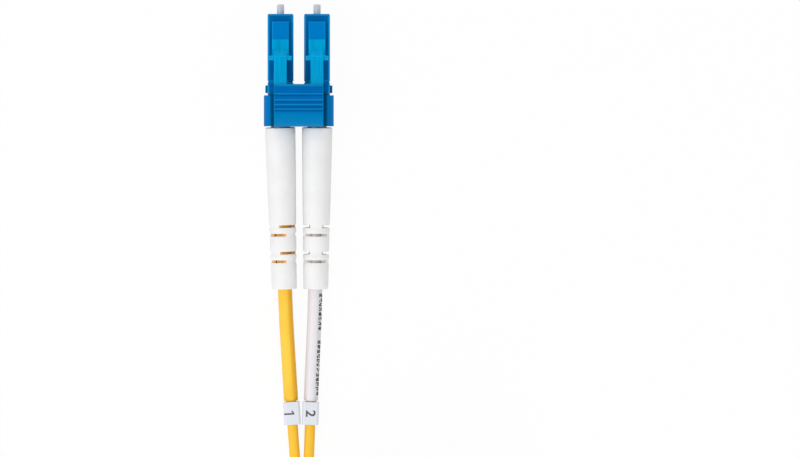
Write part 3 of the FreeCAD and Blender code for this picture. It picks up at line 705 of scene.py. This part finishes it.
def finish(name, end=""):
    """A finish by name, made once from the colours in the panel."""
    if end + name not in MADE:
        tones = bpy.context.scene.fibre_colours
        at = PLACES[end].translation
        makers = {
            "plug": lambda: moulded(f"{end}plug_blue", tones.plug, origin=at,
                                    raised=tones.latch),
            # lighter blues for rounded edges: painted highlights
            "plug_edge": lambda: moulded("plug_edge", tones.edge),
            "latch_edge": lambda: moulded("latch_edge", shade(tones.lever, 1.18)),
            "trigger_edge": lambda: moulded("trigger_edge", shade(tones.edge, 0.8)),
            "latch": lambda: moulded(f"{end}latch_blue", tones.latch, origin=at,
                                     thin=tones.lever),
            "clip": lambda: moulded(f"{end}clip_blue", tones.clip, 0.45, at,
                                    recess=CLIP_RECESS, gloss=0.03),
            "trigger": lambda: moulded(f"{end}trigger_blue", tones.trigger, 0.42, at,
                                       lines=GROOVES, gloss=0.03, slope=tones.slope),
            "boot": lambda: elastomer("boot_elastomer", tones.boot),
            # painted light inside the boots: amber thrown from the amber sleeve, a warm grey
            # shade by the white one
            "bore_1": lambda: elastomer("bore_amber", tones.bore_1),
            "bore_2": lambda: elastomer("bore_grey", tones.bore_2),
            "jacket": lambda: jacket("jacket_yellow", tones.jacket),
            "sleeve_1": lambda: tube_skin("sleeve_amber", tones.sleeve_1, tones.sleeve_1_deep),
            "sleeve_2": lambda: tube_skin("sleeve_white", tones.sleeve_2, tones.sleeve_2_deep),
            "marker": lambda: plain("marker_grey", tones.marker, 0.4),
            "digits": lambda: ink("digit_ink", tones.digits),
            "dots": lambda: ink("print_ink", tones.dots),
            "ceramic": lambda: zirconia(tones.ceramic),
            "flange": lambda: metal("turned_nickel", srgb(205, 200, 190), 0.3, (1, 12, 1)),
            "spring": lambda: metal("drawn_steel", srgb(168, 170, 172), 0.32),
            "crimp": lambda: metal("plated_crimp", srgb(122, 124, 118), 0.38, (3, 1, 3)),
            "yarn": lambda: yarn_fibres(srgb(222, 190, 92)),
            "tube": lambda: plain("guide_tube_white", srgb(228, 228, 222), 0.3),
            "buffer": lambda: plain("buffer_white", srgb(236, 236, 232), 0.35),
            "strap": lambda: strap_weave(tones.strap),
        }
        MADE[end + name] = makers[name]()
    return MADE[end + name]


# ---- shapes of this connector ----
def tilt(channel):
    """Turns a piece made on the ferrule axis on to the leg's first run."""
    start, after = local_route(channel)[:2]
    return leaning(start, after - start)


def leaning(start, run):
    """Turns a piece at a point from the ferrule axis on to a run of its leg."""
    droop = math.asin(-run.z / run.length)
    lean = math.atan2(run.x, -run.y)
    return (Matrix.Translation(start) @ Matrix.Rotation(lean, 4, "Z")
            @ Matrix.Rotation(droop, 4, "X") @ Matrix.Translation(-start))


def leg_number(end, channel):
    """Which leg a channel takes: the flat cord comes round with its legs changed over."""
    return 3 - channel if end else channel


def ring_at(spot, radius, count=32):
    """A ring round a line, at a point with its sideways and its upward direction."""
    point, side, rise = spot
    angles = [2 * math.pi * k / count for k in range(count)]
    return [point + side * (radius * math.cos(a)) + rise * (radius * math.sin(a))
            for a in angles]


def turned(profile, count):
    """Rings of a turned piece on the ferrule axis, from (station, radius) pairs."""
    return [ring_at((Vector((0, -station, 0)), Vector((1, 0, 0)), UP), radius, count)
            for station, radius in profile]


def boot_radius(station):
    """The outside of a boot, which narrows along its length and a little faster midway."""
    share = (station - BOOT_START) / (BOOT_END - BOOT_START)
    drop = BOOT_FRONT_R - BOOT_REAR_R
    return BOOT_FRONT_R - drop * (0.62 * share + 0.38 * math.sin(share * math.pi / 2) ** 2)


def boot_profile():
    """Outside from front to rear and then the bore back again."""
    spacing, ramp, lip, chamfer, cone = 1.5, 0.3, 0.05, 0.1, 1.5
    slots_from, slots_to = BOOT_SLOTS[0] - 0.5, BOOT_SLOTS[-1] + 1.2
    front = boot_radius(BOOT_START)
    rows = [(BOOT_START, front - BOOT_EDGE)]
    for a in (math.pi / 6 * k for k in (1, 2, 3)):
        rows.append((BOOT_START + BOOT_EDGE * (1 - math.cos(a)),
                     front - BOOT_EDGE * (1 - math.sin(a))))
    station = BOOT_START + spacing
    while station < BOOT_END - 1:
        if not slots_from <= station <= slots_to:
            rows.append((station, boot_radius(station)))
        station += spacing
    for here in BOOT_SLOTS:
        neck, there = boot_radius(here) - BOOT_STEP, here + BOOT_SLOT
        rows += [(here - ramp, boot_radius(here - ramp)), (here - lip, neck),
                 (there + lip, neck), (there + ramp, boot_radius(there + ramp))]
    for a in (math.pi / 6 * k for k in (0, 1, 2, 3)):
        rows.append((BOOT_END - BOOT_EDGE * (1 - math.sin(a)),
                     BOOT_REAR_R - BOOT_EDGE * (1 - math.cos(a))))
    rows.sort(key=lambda row: row[0])
    return rows + [(BOOT_END, BOOT_BORE + chamfer), (BOOT_END - chamfer, BOOT_BORE),
                   (BOOT_POCKET_END + cone, BOOT_BORE), (BOOT_POCKET_END, BOOT_POCKET),
                   (BOOT_START + chamfer, BOOT_POCKET), (BOOT_START, BOOT_POCKET + chamfer)]


def slot_cutters(channel):
    """Blocks that leave two webs in each row of slots, turned a quarter row by row."""
    mesh = bpy.data.meshes.new("cutters")
    reach = 2 * BOOT_FRONT_R
    size = Matrix.Diagonal((reach - BOOT_WEB, BOOT_SLOT, 2 * reach, 1))
    with Rework(mesh) as work:
        for row, station in enumerate(BOOT_SLOTS):
            roll = Matrix.Rotation(-math.radians(BOOT_ROLL[channel] + 90 * (row % 2)), 4, "Y")
            for side in (-1, 1):
                centre = (side * (reach + BOOT_WEB) / 2, -station - BOOT_SLOT / 2, 0)
                bmesh.ops.create_cube(work, size=1,
                                      matrix=roll @ Matrix.Translation(centre) @ size)
    return mesh


def boot_mesh(channel, place):
    """The tapered boot with its staggered slots cut and eased."""
    body = linked("body", skin("body", turned(boot_profile(), 72), closed=True, scale=1.0))
    cutter = linked("cutter", slot_cutters(channel))
    cut = body.modifiers.new("slots", "BOOLEAN")
    cut.operation, cut.solver, cut.object = "DIFFERENCE", "EXACT", cutter
    soft = body.modifiers.new("rounding", "BEVEL")
    soft.limit_method, soft.angle_limit = "ANGLE", math.radians(50)
    soft.width, soft.segments = BOOT_ROUNDING, 2
    mesh = result_of(body)
    bpy.data.objects.remove(cutter)
    # painted light: faces inside the boot take the second slot, a tone for the light from the
    # sleeve within
    for face in mesh.polygons:
        x, y, z = face.center
        face.material_index = math.hypot(x, z) < boot_radius(-y) - 2 * BOOT_ROUNDING
    mesh.transform(Matrix.Scale(MM, 4) @ place @ tilt(channel)
                   @ Matrix.Translation((AXIS_X[channel], 0, 0)))
    return smooth(mesh)


# ---- node trees ----
class Graph(Tree):
    """A geometry node tree with named inputs, ended by Realize Instances and Set Material."""

    def __init__(self, name, **inputs):
        super().__init__(bpy.data.node_groups.new(name, "GeometryNodeTree"))
        self.input("Geometry", "Geometry")
        self.tree.interface.new_socket("Geometry", in_out="OUTPUT",
                                       socket_type="NodeSocketGeometry")
        for label, default in inputs.items():
            kind = "Int" if isinstance(default, int) else "Float"
            self.input(label, kind).default_value = default
        self.input("Material", "Material")
        self.source = self.tree.nodes.new("NodeGroupInput")

    def input(self, label, kind):
        return self.tree.interface.new_socket(label, in_out="INPUT",
                                              socket_type=f"NodeSocket{kind}")

    def given(self, label):
        return Socket(self, self.source.outputs[label])

    def finish_with(self, geometry):
        real = self.node("GeometryNodeRealizeInstances", {}, geometry)
        done = self.node("GeometryNodeSetMaterial", {}, real, Material=self.given("Material"))
        out = self.tree.nodes.new("NodeGroupOutput")
        self.plug(out.inputs[0], done)

    def run(self, base, **values):
        """The plain mesh that the tree makes from an object, which is then gone."""
        mod = base.modifiers.new("tree", "NODES")
        mod.node_group = self.tree
        for item in self.tree.interface.items_tree:
            label = item.name.lower()
            if item.item_type == "SOCKET" and item.in_out == "INPUT" and label in values:
                mod[item.identifier] = values[label]
        return result_of(base)


def spring_tree():
    tree = Graph("coil_spring", Turns=SPRING_TURNS, Radius=SPRING_RADIUS * MM,
                 Wire=SPRING_WIRE * MM, Length=6.0 * MM)
    helix = tree.node("GeometryNodeCurveSpiral", {}, **{
        "Resolution": 28, "Rotations": tree.given("Turns"),
        "Start Radius": tree.given("Radius"), "End Radius": tree.given("Radius"),
        "Height": tree.given("Length")})
    wire = tree.node("GeometryNodeCurvePrimitiveCircle", {}, Resolution=10,
                     Radius=tree.given("Wire"))
    swept = tree.node("GeometryNodeCurveToMesh", {}, helix,
                      **{"Profile Curve": wire, "Fill Caps": True})
    tree.finish_with(swept)
    return tree


def print_tree():
    """Rows of small ink dots round one side of a sleeve, grouped and thinned at random."""
    tree = Graph("sleeve_print", Length=PRINT_LENGTH * MM, Columns=PRINT_COLUMNS,
                 Rows=PRINT_ROWS, Pitch=PRINT_PITCH * MM, Radius=SLEEVE_RADIUS * MM,
                 Dot=DOT_RADIUS * MM, Angle=PRINT_ANGLE, Fill=PRINT_FILL, Seed=PRINT_SEED)
    length, pitch, radius = (tree.given(n) for n in ("Length", "Pitch", "Radius"))
    curve = tree.node("GeometryNodeMeshToCurve", {}, tree.given("Geometry"))
    grid = tree.node("GeometryNodeMeshGrid", {}, **{
        "Size X": length, "Size Y": (tree.given("Rows") - 1) * pitch,
        "Vertices X": tree.given("Columns"), "Vertices Y": tree.given("Rows")})
    x, y, _ = tree.parts(tree.node("GeometryNodeInputPosition", {}))
    along = x + length / 2
    column = tree.sum("ROUND", along / pitch)
    chance, word = (tree.node("FunctionNodeRandomValue", {"data_type": "FLOAT"}, output=1,
                              Seed=tree.given("Seed"), ID=mark)
                    for mark in (tree.node("GeometryNodeInputIndex", {}),
                                 tree.sum("FLOOR", column / WORD_COLUMNS)))
    gap = column % LETTER_COLUMNS > LETTER_COLUMNS - 1.5        # a letter's last column
    blank = gap + (chance > tree.given("Fill")) + (word > PRINT_WORDS)
    kept = tree.node("GeometryNodeDeleteGeometry", {"domain": "POINT"}, grid, blank > 0.5)
    spot = tree.node("GeometryNodeSampleCurve", {"mode": "LENGTH"}, Curves=curve,
                     Length=along)
    outs = spot.socket.node.outputs
    centre, tangent = Socket(tree, outs["Position"]), Socket(tree, outs["Tangent"])

    def vector(operation, *values, **named):
        return tree.node("ShaderNodeVectorMath", {"operation": operation}, *values, **named)

    side = vector("NORMALIZE", vector("CROSS_PRODUCT", tangent, (0, 0, 1)))
    rise = vector("CROSS_PRODUCT", side, tangent)
    angle = tree.given("Angle") + y / radius
    out = vector("ADD", vector("SCALE", side, Scale=tree.sum("COSINE", angle)),
                 vector("SCALE", rise, Scale=tree.sum("SINE", angle)))
    marked = tree.node("GeometryNodeStoreNamedAttribute",
                       {"data_type": "FLOAT_VECTOR", "domain": "POINT"}, kept,
                       Name="outward", Value=out)
    moved = tree.node("GeometryNodeSetPosition", {}, marked,
                      Position=vector("ADD", centre, vector("SCALE", out, Scale=radius)))
    outward = tree.node("GeometryNodeInputNamedAttribute", {"data_type": "FLOAT_VECTOR"},
                        Name="outward")
    turn = tree.node("FunctionNodeAlignRotationToVector", {"axis": "Z"}, Vector=outward)
    dot = tree.node("GeometryNodeMeshCylinder", {}, Vertices=8, Radius=tree.given("Dot"),
                    Depth=DOT_DEPTH * MM)
    tree.finish_with(tree.node("GeometryNodeInstanceOnPoints", {}, moved, Instance=dot,
                               Rotation=turn))
    return tree


# ---- what a user may change ----
def tone(label, red, green, blue):
    return bpy.props.FloatVectorProperty(name=label, description=f"Colour of the {label.lower()}",
                                         subtype="COLOR", size=4, min=0, max=1,
                                         default=srgb(red, green, blue))


def length(label, text, default):
    return bpy.props.FloatProperty(name=label, description=text, default=default,
                                   unit="LENGTH", subtype="DISTANCE", precision=5)


class FibreColours(bpy.types.PropertyGroup):
    """Colours of the connector's finishes."""
    plug: tone("Plug", 1, 102, 169)
    # lighter blue of the latch, also a painted highlight on the plug's raised faces
    latch: tone("Raised faces", 1, 121, 197)
    # painted sheen on the thin lever's upper faces, and the base of its painted edge highlight
    lever: tone("Latch where it is thin", 2, 160, 216)
    clip: tone("Clip", 1, 117, 188)
    trigger: tone("Trigger", 1, 102, 175)
    # painted highlight on the trigger's rear slope
    slope: tone("Trigger's slope", 1, 122, 181)
    # painted highlight on the moulded parts' rounded edges
    edge: tone("Rounded edges", 14, 142, 204)
    boot: tone("Boot", 240, 240, 240)
    # painted amber light from the amber sleeve, seen through the first boot's slots
    bore_1: tone("First boot inside", 248, 206, 152)
    # painted warm grey shade inside the second boot's slots
    bore_2: tone("Second boot inside", 232, 225, 218)
    jacket: tone("Jacket", 251, 198, 64)
    sleeve_1: tone("First sleeve", 252, 207, 78)
    # deep tone: slow bands, and a painted shade along the sleeve's right side
    sleeve_1_deep: tone("First sleeve where it is dense", 240, 176, 42)
    sleeve_2: tone("Second sleeve", 234, 231, 236)
    # deep tone: slow bands, and a painted shade along the sleeve's right side
    sleeve_2_deep: tone("Second sleeve where it is dense", 220, 217, 221)
    marker: tone("Marker", 225, 228, 237)
    digits: tone("Digits", 70, 70, 76)
    dots: tone("Printed dots", 44, 44, 48)
    ceramic: tone("Ferrule", 206, 212, 222)
    strap: tone("Strap", 236, 236, 234)


class FibreSizes(bpy.types.PropertyGroup):
    """Sizes of the dressed pieces."""
    leg_diameter: length("Leg diameter", "Jacket of one leg", 1.8 * MM)
    zip_width: length("Cord width", "Width of the twin cord", 3.7 * MM)
    leg_length: length("Leg length", "One leg from its boot to the split", 64.1 * MM)
    zip_length: length("Cord length", "The twin cord from split to split", 0.818)
    mould_edge: length("Moulded edge", "Radius on the plugs' edges", 0.1 * MM)
    digit_height: length("Digit height", "Height of a marker's number", 1.7 * MM)


class FibreStage(bpy.types.PropertyGroup):
    """Camera and light."""
    view_width: length("View width", "Width of floor that the picture takes in", 136.99 * MM)
    camera_height: length("Camera height", "Height above the floor", 3.0)
    key: bpy.props.FloatProperty(name="Key", description="Power of the main lamp", default=1.3,
                                 unit="POWER")
    ambient: bpy.props.FloatProperty(name="Ambient", description="Strength of the surround",
                                     default=0.6, min=0)


class Maker(bpy.types.Operator):
    """A step that makes some of the pieces."""
    bl_options = {"REGISTER", "UNDO"}

    def execute(self, context):
        self.make(context.scene.fibre_sizes)
        return {"FINISHED"}


class FIBRE_OT_mouldings(Maker):
    """Plug housings, rear bodies, latches, clip and trigger"""
    bl_idname, bl_label = "fibre.mouldings", "Mouldings"

    def make(self, sizes):
        edge = sizes.mould_edge / MM
        for end in ENDS:
            for k in CHANNELS:
                for name, node in (("housing", "plug_housing"), ("rear", "rear_body")):
                    mesh = slide_along(eased(f"{end}{node}_{k}", edge), end, NOSE_MOVES)
                    wear(f"{end}{name}_{k}", mesh, finish("plug", end), f"{end}{node}_{k}",
                         edge=finish("plug_edge"))
                wear(f"{end}latch_{k}", self.lever(end, k, edge), finish("latch", end),
                     f"{end}latch_lever_{k}", edge=finish("latch_edge"))
            wear(f"{end}clip", eased(f"{end}duplex_clip", edge), finish("clip", end),
                 f"{end}duplex_clip", edge=finish("plug_edge"))
            trigger = slide_along(eased(f"{end}clip_trigger", edge), end, RIB_MOVES)
            wear(f"{end}trigger", trigger, finish("trigger", end), f"{end}clip_trigger",
                 edge=finish("trigger_edge"))

    def lever(self, end, k, edge):
        """The lever, with the wings of its thin strip carried on to its ears."""
        mesh = eased(f"{end}latch_lever_{k}", edge)
        tip = PLACES[end].translation
        for v in mesh.vertices:
            aside, station = abs(v.co.x / MM - tip.x - AXIS_X[k]), tip.y - v.co.y / MM
            if EAR_START < station < EAR_END and aside > EAR_ASIDE:
                v.co.y = (tip.y - EAR_FRONT - (station - EAR_START) * EAR_LEAN) * MM
        x, y, z = WING_PLACE
        with Rework(mesh) as work:
            for side in (-1, 1):
                wing = (PLACES[end] @ Matrix.Translation((AXIS_X[k] + side * x, y, z))
                        @ Matrix.Rotation(-WING_SLOPE, 4, "X")
                        @ Matrix.Diagonal((*WING_SIZE, 1)))
                bmesh.ops.create_cube(work, size=1, matrix=Matrix.Scale(MM, 4) @ wing)
        return smooth(mesh, 48.0)


class FIBRE_OT_boots(Maker):
    """Tapered boots with their staggered slots"""
    bl_idname, bl_label = "fibre.boots", "Boots"

    def make(self, sizes):
        for end in ENDS:
            for k in CHANNELS:
                wear(f"{end}strain_boot_{k}", boot_mesh(k, PLACES[end]), finish("boot"),
                     f"{end}boot_{k}", edge=finish(f"bore_{leg_number(end, k)}"))


class FIBRE_OT_ferrules(Maker):
    """Ceramic ferrules and the metal and fibre parts behind them"""
    bl_idname, bl_label = "fibre.ferrules", "Ferrules"

    def make(self, sizes):
        springs = spring_tree()
        for end in ENDS:
            for k in CHANNELS:
                pin = skin("pin", turned(FERRULE_PROFILE, 64),
                           PLACES[end] @ Matrix.Translation((AXIS_X[k], 0, 0)))
                wear(f"{end}ferrule_pin_{k}", pin, finish("ceramic"), f"{end}ferrule_{k}")
                wear(f"{end}flange_{k}", eased(f"{end}ferrule_flange_{k}", 0.04, least=0.05),
                     finish("flange"), f"{end}ferrule_flange_{k}")
                wear(f"{end}fibre_core_{k}", smooth(welded(f"{end}fibre_{k}")),
                     finish("buffer"), f"{end}fibre_{k}")
                self.spring(springs, end, k)

    def spring(self, tree, end, k):
        """A round-wire spring from the flange's collar to its seat."""
        length = SPRING_SEAT - SPRING_START
        base = linked("base", bpy.data.meshes.new("base"))
        mesh = tree.run(base, turns=SPRING_TURNS, radius=SPRING_RADIUS * MM,
                        wire=SPRING_WIRE * MM, length=(length - 2 * SPRING_WIRE) * MM,
                        material=finish("spring"))
        lay = (Matrix.Translation((AXIS_X[k], SPRING_WIRE - SPRING_SEAT, 0))
               @ Matrix.Rotation(-math.pi / 2, 4, "X"))
        mesh.transform(Matrix.Scale(MM, 4) @ PLACES[end] @ lay @ Matrix.Scale(1 / MM, 4))
        obj = wear(f"{end}spring_{k}", smooth(mesh, 60.0), finish("spring"),
                   f"{end}ferrule_spring_{k}")
        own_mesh(obj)


class FIBRE_OT_crimps(Maker):
    """Crimp sleeves, yarn and guide tubes inside the boots"""
    bl_idname, bl_label = "fibre.crimps", "Crimps"

    def make(self, sizes):
        kinds = [("crimp_sleeve", "crimp", "crimp"), ("aramid_yarn", "yarn_layer", "yarn"),
                 ("guide_tube", "tube", "tube")]
        for node, name, look in kinds:
            for k in CHANNELS:
                wear(f"{name}_{k}", smooth(welded(f"{node}_{k}")), finish(look), f"{node}_{k}")
            wear(f"far_{name}s", smooth(welded(f"far_{node}s")), finish(look), f"far_{node}s")


class FIBRE_OT_sleeves(Maker):
    """Leg sleeves with their print, and numbered markers"""
    bl_idname, bl_label = "fibre.sleeves", "Sleeves and markers"

    def make(self, sizes):
        dots = print_tree()
        for end in ENDS:
            for k in CHANNELS:
                line, leg = line_of(local_route(k)), leg_number(end, k)
                self.sleeve(end, k, leg, line)
                self.number(end, k, leg, sizes.digit_height / MM)
                if leg == 2:
                    self.dots(dots, end, k, line)
        for name, node in (("marker_1", "marker_sleeve_1"), ("marker_2", "marker_sleeve_2"),
                           ("far_markers", "far_marker_sleeves")):
            wear(name, eased(node, 0.1), finish("marker"), node)

    def sleeve(self, end, k, leg, line):
        spots = directions(stretch_of(line, SLEEVE_START, SLEEVE_END))
        outer = [ring_at(spot, SLEEVE_RADIUS) for spot in spots]
        outer[0], outer[-1] = (ring_at(spots[i], SLEEVE_RADIUS - SLEEVE_EDGE) for i in (0, -1))
        inner = [ring_at(spot, SLEEVE_BORE) for spot in reversed(spots)]
        wear(f"{end}sleeve_{k}", skin("sleeve", outer + inner, PLACES[end], closed=True),
             finish(f"sleeve_{leg}"), "far_leg_sleeves" if end else f"leg_sleeve_{k}",
             slot=SLEEVE_SLOTS[leg])

    def number(self, end, k, leg, height):
        """The leg's number, on top of its marker."""
        start, stop = (at_station(local_route(k), s) for s in (MARKER_START, MARKER_END))
        lay = (Matrix.Translation((DIGIT_ASIDE[leg], (MARKER_START - MARKER_END) / 2,
                                   MARKER_TOP + DIGIT_LIFT))
               @ Matrix.Rotation(-math.pi / 2, 4, "Z")
               @ Matrix.Diagonal((DIGIT_WIDER, 1, 1, 1)))
        mesh = result_of(linked("digit", self.digit(leg, height)))
        mesh.transform(Matrix.Scale(MM, 4) @ PLACES[end] @ leaning(start, stop - start)
                       @ Matrix.Translation(start) @ lay)
        wear(f"{end}number_{k}", smooth(mesh, 30.0), finish("digits"), body="connector",
             slot="marker_grey")

    def digit(self, number, height):
        """The outline of a number, upright and flat."""
        if number == 1:
            flat = bpy.data.curves.new("digit", "CURVE")
            flat.dimensions, flat.fill_mode = "2D", "BOTH"
            stroke = flat.splines.new("POLY")
            stroke.points.add(len(ONE) - 1)
            for point, (x, y) in zip(stroke.points, ONE):
                point.co = (x * height, y * height, 0, 1)
            stroke.use_cyclic_u = True
        else:
            flat = bpy.data.curves.new("digit", "FONT")
            flat.body, flat.align_x, flat.align_y = str(number), "CENTER", "CENTER"
            flat.size, flat.resolution_u, flat.offset = height * FONT_SIZE, 6, FONT_BOLD
        flat.extrude = DIGIT_DEPTH
        return flat

    def dots(self, tree, end, k, line):
        """The print, on the outer flank of the white sleeve."""
        spots = stretch_of(line, PRINT_START, PRINT_END)
        mesh = bpy.data.meshes.new("base")
        mesh.from_pydata([PLACES[end] @ p * MM for p in spots],
                         [(i, i + 1) for i in range(len(spots) - 1)], [])
        made = tree.run(linked("base", mesh), length=PRINT_LENGTH * MM,
                        columns=PRINT_COLUMNS, rows=PRINT_ROWS, pitch=PRINT_PITCH * MM,
                        radius=(SLEEVE_RADIUS + PRINT_LIFT) * MM, dot=DOT_RADIUS * MM,
                        angle=PRINT_ANGLE if k == 2 else math.pi - PRINT_ANGLE,
                        fill=PRINT_FILL, seed=PRINT_SEED, material=finish("dots"))
        made.attributes.remove(made.attributes["outward"])
        wear(f"{end}print_{k}", made, finish("dots"), body="connector", slot="sleeve_white")


class FIBRE_OT_cords(Maker):
    """The four legs, the twin cord in its coil, and the tie"""
    bl_idname, bl_label = "fibre.cords", "Cords"

    def make(self, sizes):
        for end in ENDS:
            for k in CHANNELS:
                curve = route_curve(f"{end}leg_{k}", local_route(k), PLACES[end])
                curve.bevel_depth = sizes.leg_diameter / 2
                curve.bevel_resolution, curve.use_fill_caps = 7, True
                curve.materials.append(finish("jacket"))
                leg = linked(f"{end}leg_{k}", curve)
                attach(leg, "connector")
                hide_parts(f"{end}leg_cord_{k}")
        self.twin_cord(sizes)
        for k in CHANNELS:
            boot_end = PLACES[""] @ local_route(k)[0] * MM
        for k in CHANNELS:
            split = PLACES["far_"] @ local_route(k)[-1] * MM

    def far_pieces(self, k):
        own = [f"far_{name}_{k}" for name in (
            "housing", "rear", "latch", "strain_boot", "ferrule_pin", "flange", "fibre_core",
            "spring", "sleeve", "number")]
        shared = {1: ["far_clip", "far_trigger", "far_markers", "far_print_1"],
                  2: ["far_crimps", "far_yarn_layers", "far_tubes"]}
        return own + shared[k]

    def twin_cord(self, sizes):
        """The flat twin cord: lying flat at the splits and on its edge in the coil."""
        line = line_of(zip_route())
        lobe = sizes.leg_diameter / 2 / MM
        reach = sizes.zip_width / 2 / MM - lobe
        section = []
        for k in range(LOBE_POINTS):
            a = math.radians((180 - WEB_ANGLE) * (2 * k / (LOBE_POINTS - 1) - 1))
            section.append((reach + lobe * math.cos(a), lobe * math.sin(a)))
        section += [(-u, -v) for u, v in section]
        rings, left, last = [], 0.0, line[-1]
        for point, side, rise in reversed(directions(line)):
            left += (point - last).length
            last = point
            share = min((point.z - CORD_LEVEL) / reach, (left - FLAT_LENGTH) / RISE_LENGTH)
            stand = math.asin(min(max(share, 0), 1))
            wide = side * math.cos(stand) + rise * math.sin(stand)
            thin = rise * math.cos(stand) - side * math.sin(stand)
            rings.insert(0, [point + wide * u + thin * v for u, v in section])
        cord = wear("twin_cord", skin("twin_cord", rings), finish("jacket"),
                    "zip_lead", "cord_coil", "zip_tail")
        ties = [wear(name, eased(node, 0.06), finish("strap"), node)
                for name, node in (("tie_strap", "coil_tie"), ("leg_strap", "leg_tie"))]


class FIBRE_OT_stage(bpy.types.Operator):
    """Floor, lamps, surround and camera"""
    bl_idname, bl_label = "fibre.stage", "Stage"

    def execute(self, context):
        stage = context.scene.fibre_stage
        self.floor()
        self.surround(context.scene, stage.ambient)
        for name, place, share in LAMPS:
            lamp = bpy.data.lights.new(name, "AREA")
            lamp.shape, lamp.size, lamp.energy = "SQUARE", LAMP_SIZE, stage.key * share
            obj = linked(name, lamp)
            obj.location = place
            obj.rotation_euler = (-obj.location).to_track_quat("-Z", "Y").to_euler()
        lens = bpy.data.cameras.new("camera")
        lens.sensor_width = SENSOR
        lens.lens = SENSOR * (stage.camera_height - AXIS_LEVEL * MM) / stage.view_width
        lens.clip_start, lens.clip_end = 0.05, 20.0
        camera = linked("camera", lens)
        camera.location = (CAMERA_X * MM, CAMERA_Y * MM, stage.camera_height)
        context.scene.camera = camera
        context.scene.view_settings.view_transform = "Standard"
        return {"FINISHED"}

    def floor(self):
        corners = [(x * FLOOR_REACH, y * FLOOR_REACH, 0)
                   for x, y in ((-1, -1), (1, -1), (1, 1), (-1, 1))]
        mesh = mesh_of("floor", corners, [[0, 1, 2, 3]])
        paint = Finish("floor_white", srgb(244, 244, 244), 0.8)
        light = paint.node("ShaderNodeEmission", {}, (1, 1, 1, 1), 1.0)
        soft = paint.node("ShaderNodeMixShader", {}, paint.seen_directly() * 0.95,
                          Socket(paint, paint.shader.outputs[0]), light)
        end = next(n for n in paint.tree.nodes if n.type == "OUTPUT_MATERIAL")
        paint.plug(end.inputs["Surface"], soft)
        mesh.materials.append(paint.material)
        linked("floor", mesh)

    def surround(self, scene, ambient):
        """White to the camera, and a plain level of light to everything else."""
        world = scene.world = bpy.data.worlds.new("surround")
        world.use_nodes = True
        paint = Tree(world.node_tree)
        paint.tree.nodes.clear()
        lit = paint.node("ShaderNodeBackground", {}, (1, 1, 1, 1), ambient)
        shown = paint.node("ShaderNodeBackground", {}, (1, 1, 1, 1), 1.0)
        both = paint.node("ShaderNodeMixShader", {}, paint.seen_directly(), lit, shown)
        end = paint.tree.nodes.new("ShaderNodeOutputWorld")
        paint.plug(end.inputs["Surface"], both)


STEPS = (FIBRE_OT_mouldings, FIBRE_OT_boots, FIBRE_OT_ferrules, FIBRE_OT_crimps,
         FIBRE_OT_sleeves, FIBRE_OT_cords, FIBRE_OT_stage)


class FIBRE_PT_looks(bpy.types.Panel):
    """Sizes, colours and steps of the connector's looks"""
    bl_idname, bl_label = "FIBRE_PT_looks", "Fibre connector"
    bl_space_type, bl_region_type, bl_category = "VIEW_3D", "UI", "Fibre"

    def draw(self, context):
        scene = context.scene
        for group in (scene.fibre_sizes, scene.fibre_colours, scene.fibre_stage):
            box = self.layout.box()
            for name in group.__annotations__:
                box.prop(group, name)
        for step in STEPS:
            self.layout.operator(step.bl_idname)


GROUPS = {"fibre_sizes": FibreSizes, "fibre_colours": FibreColours, "fibre_stage": FibreStage}


def register():
    for cls in (*GROUPS.values(), *STEPS, FIBRE_PT_looks):
        bpy.utils.register_class(cls)
    for name, cls in GROUPS.items():
        setattr(bpy.types.Scene, name, bpy.props.PointerProperty(type=cls))


def unregister():
    for name in GROUPS:
        delattr(bpy.types.Scene, name)
    for cls in reversed((*GROUPS.values(), *STEPS, FIBRE_PT_looks)):
        bpy.utils.unregister_class(cls)


def main():
    register()
    for step in STEPS:
        group, name = step.bl_idname.split(".")
        getattr(getattr(bpy.ops, group), name)()


if __name__ == "__main__":
    main()
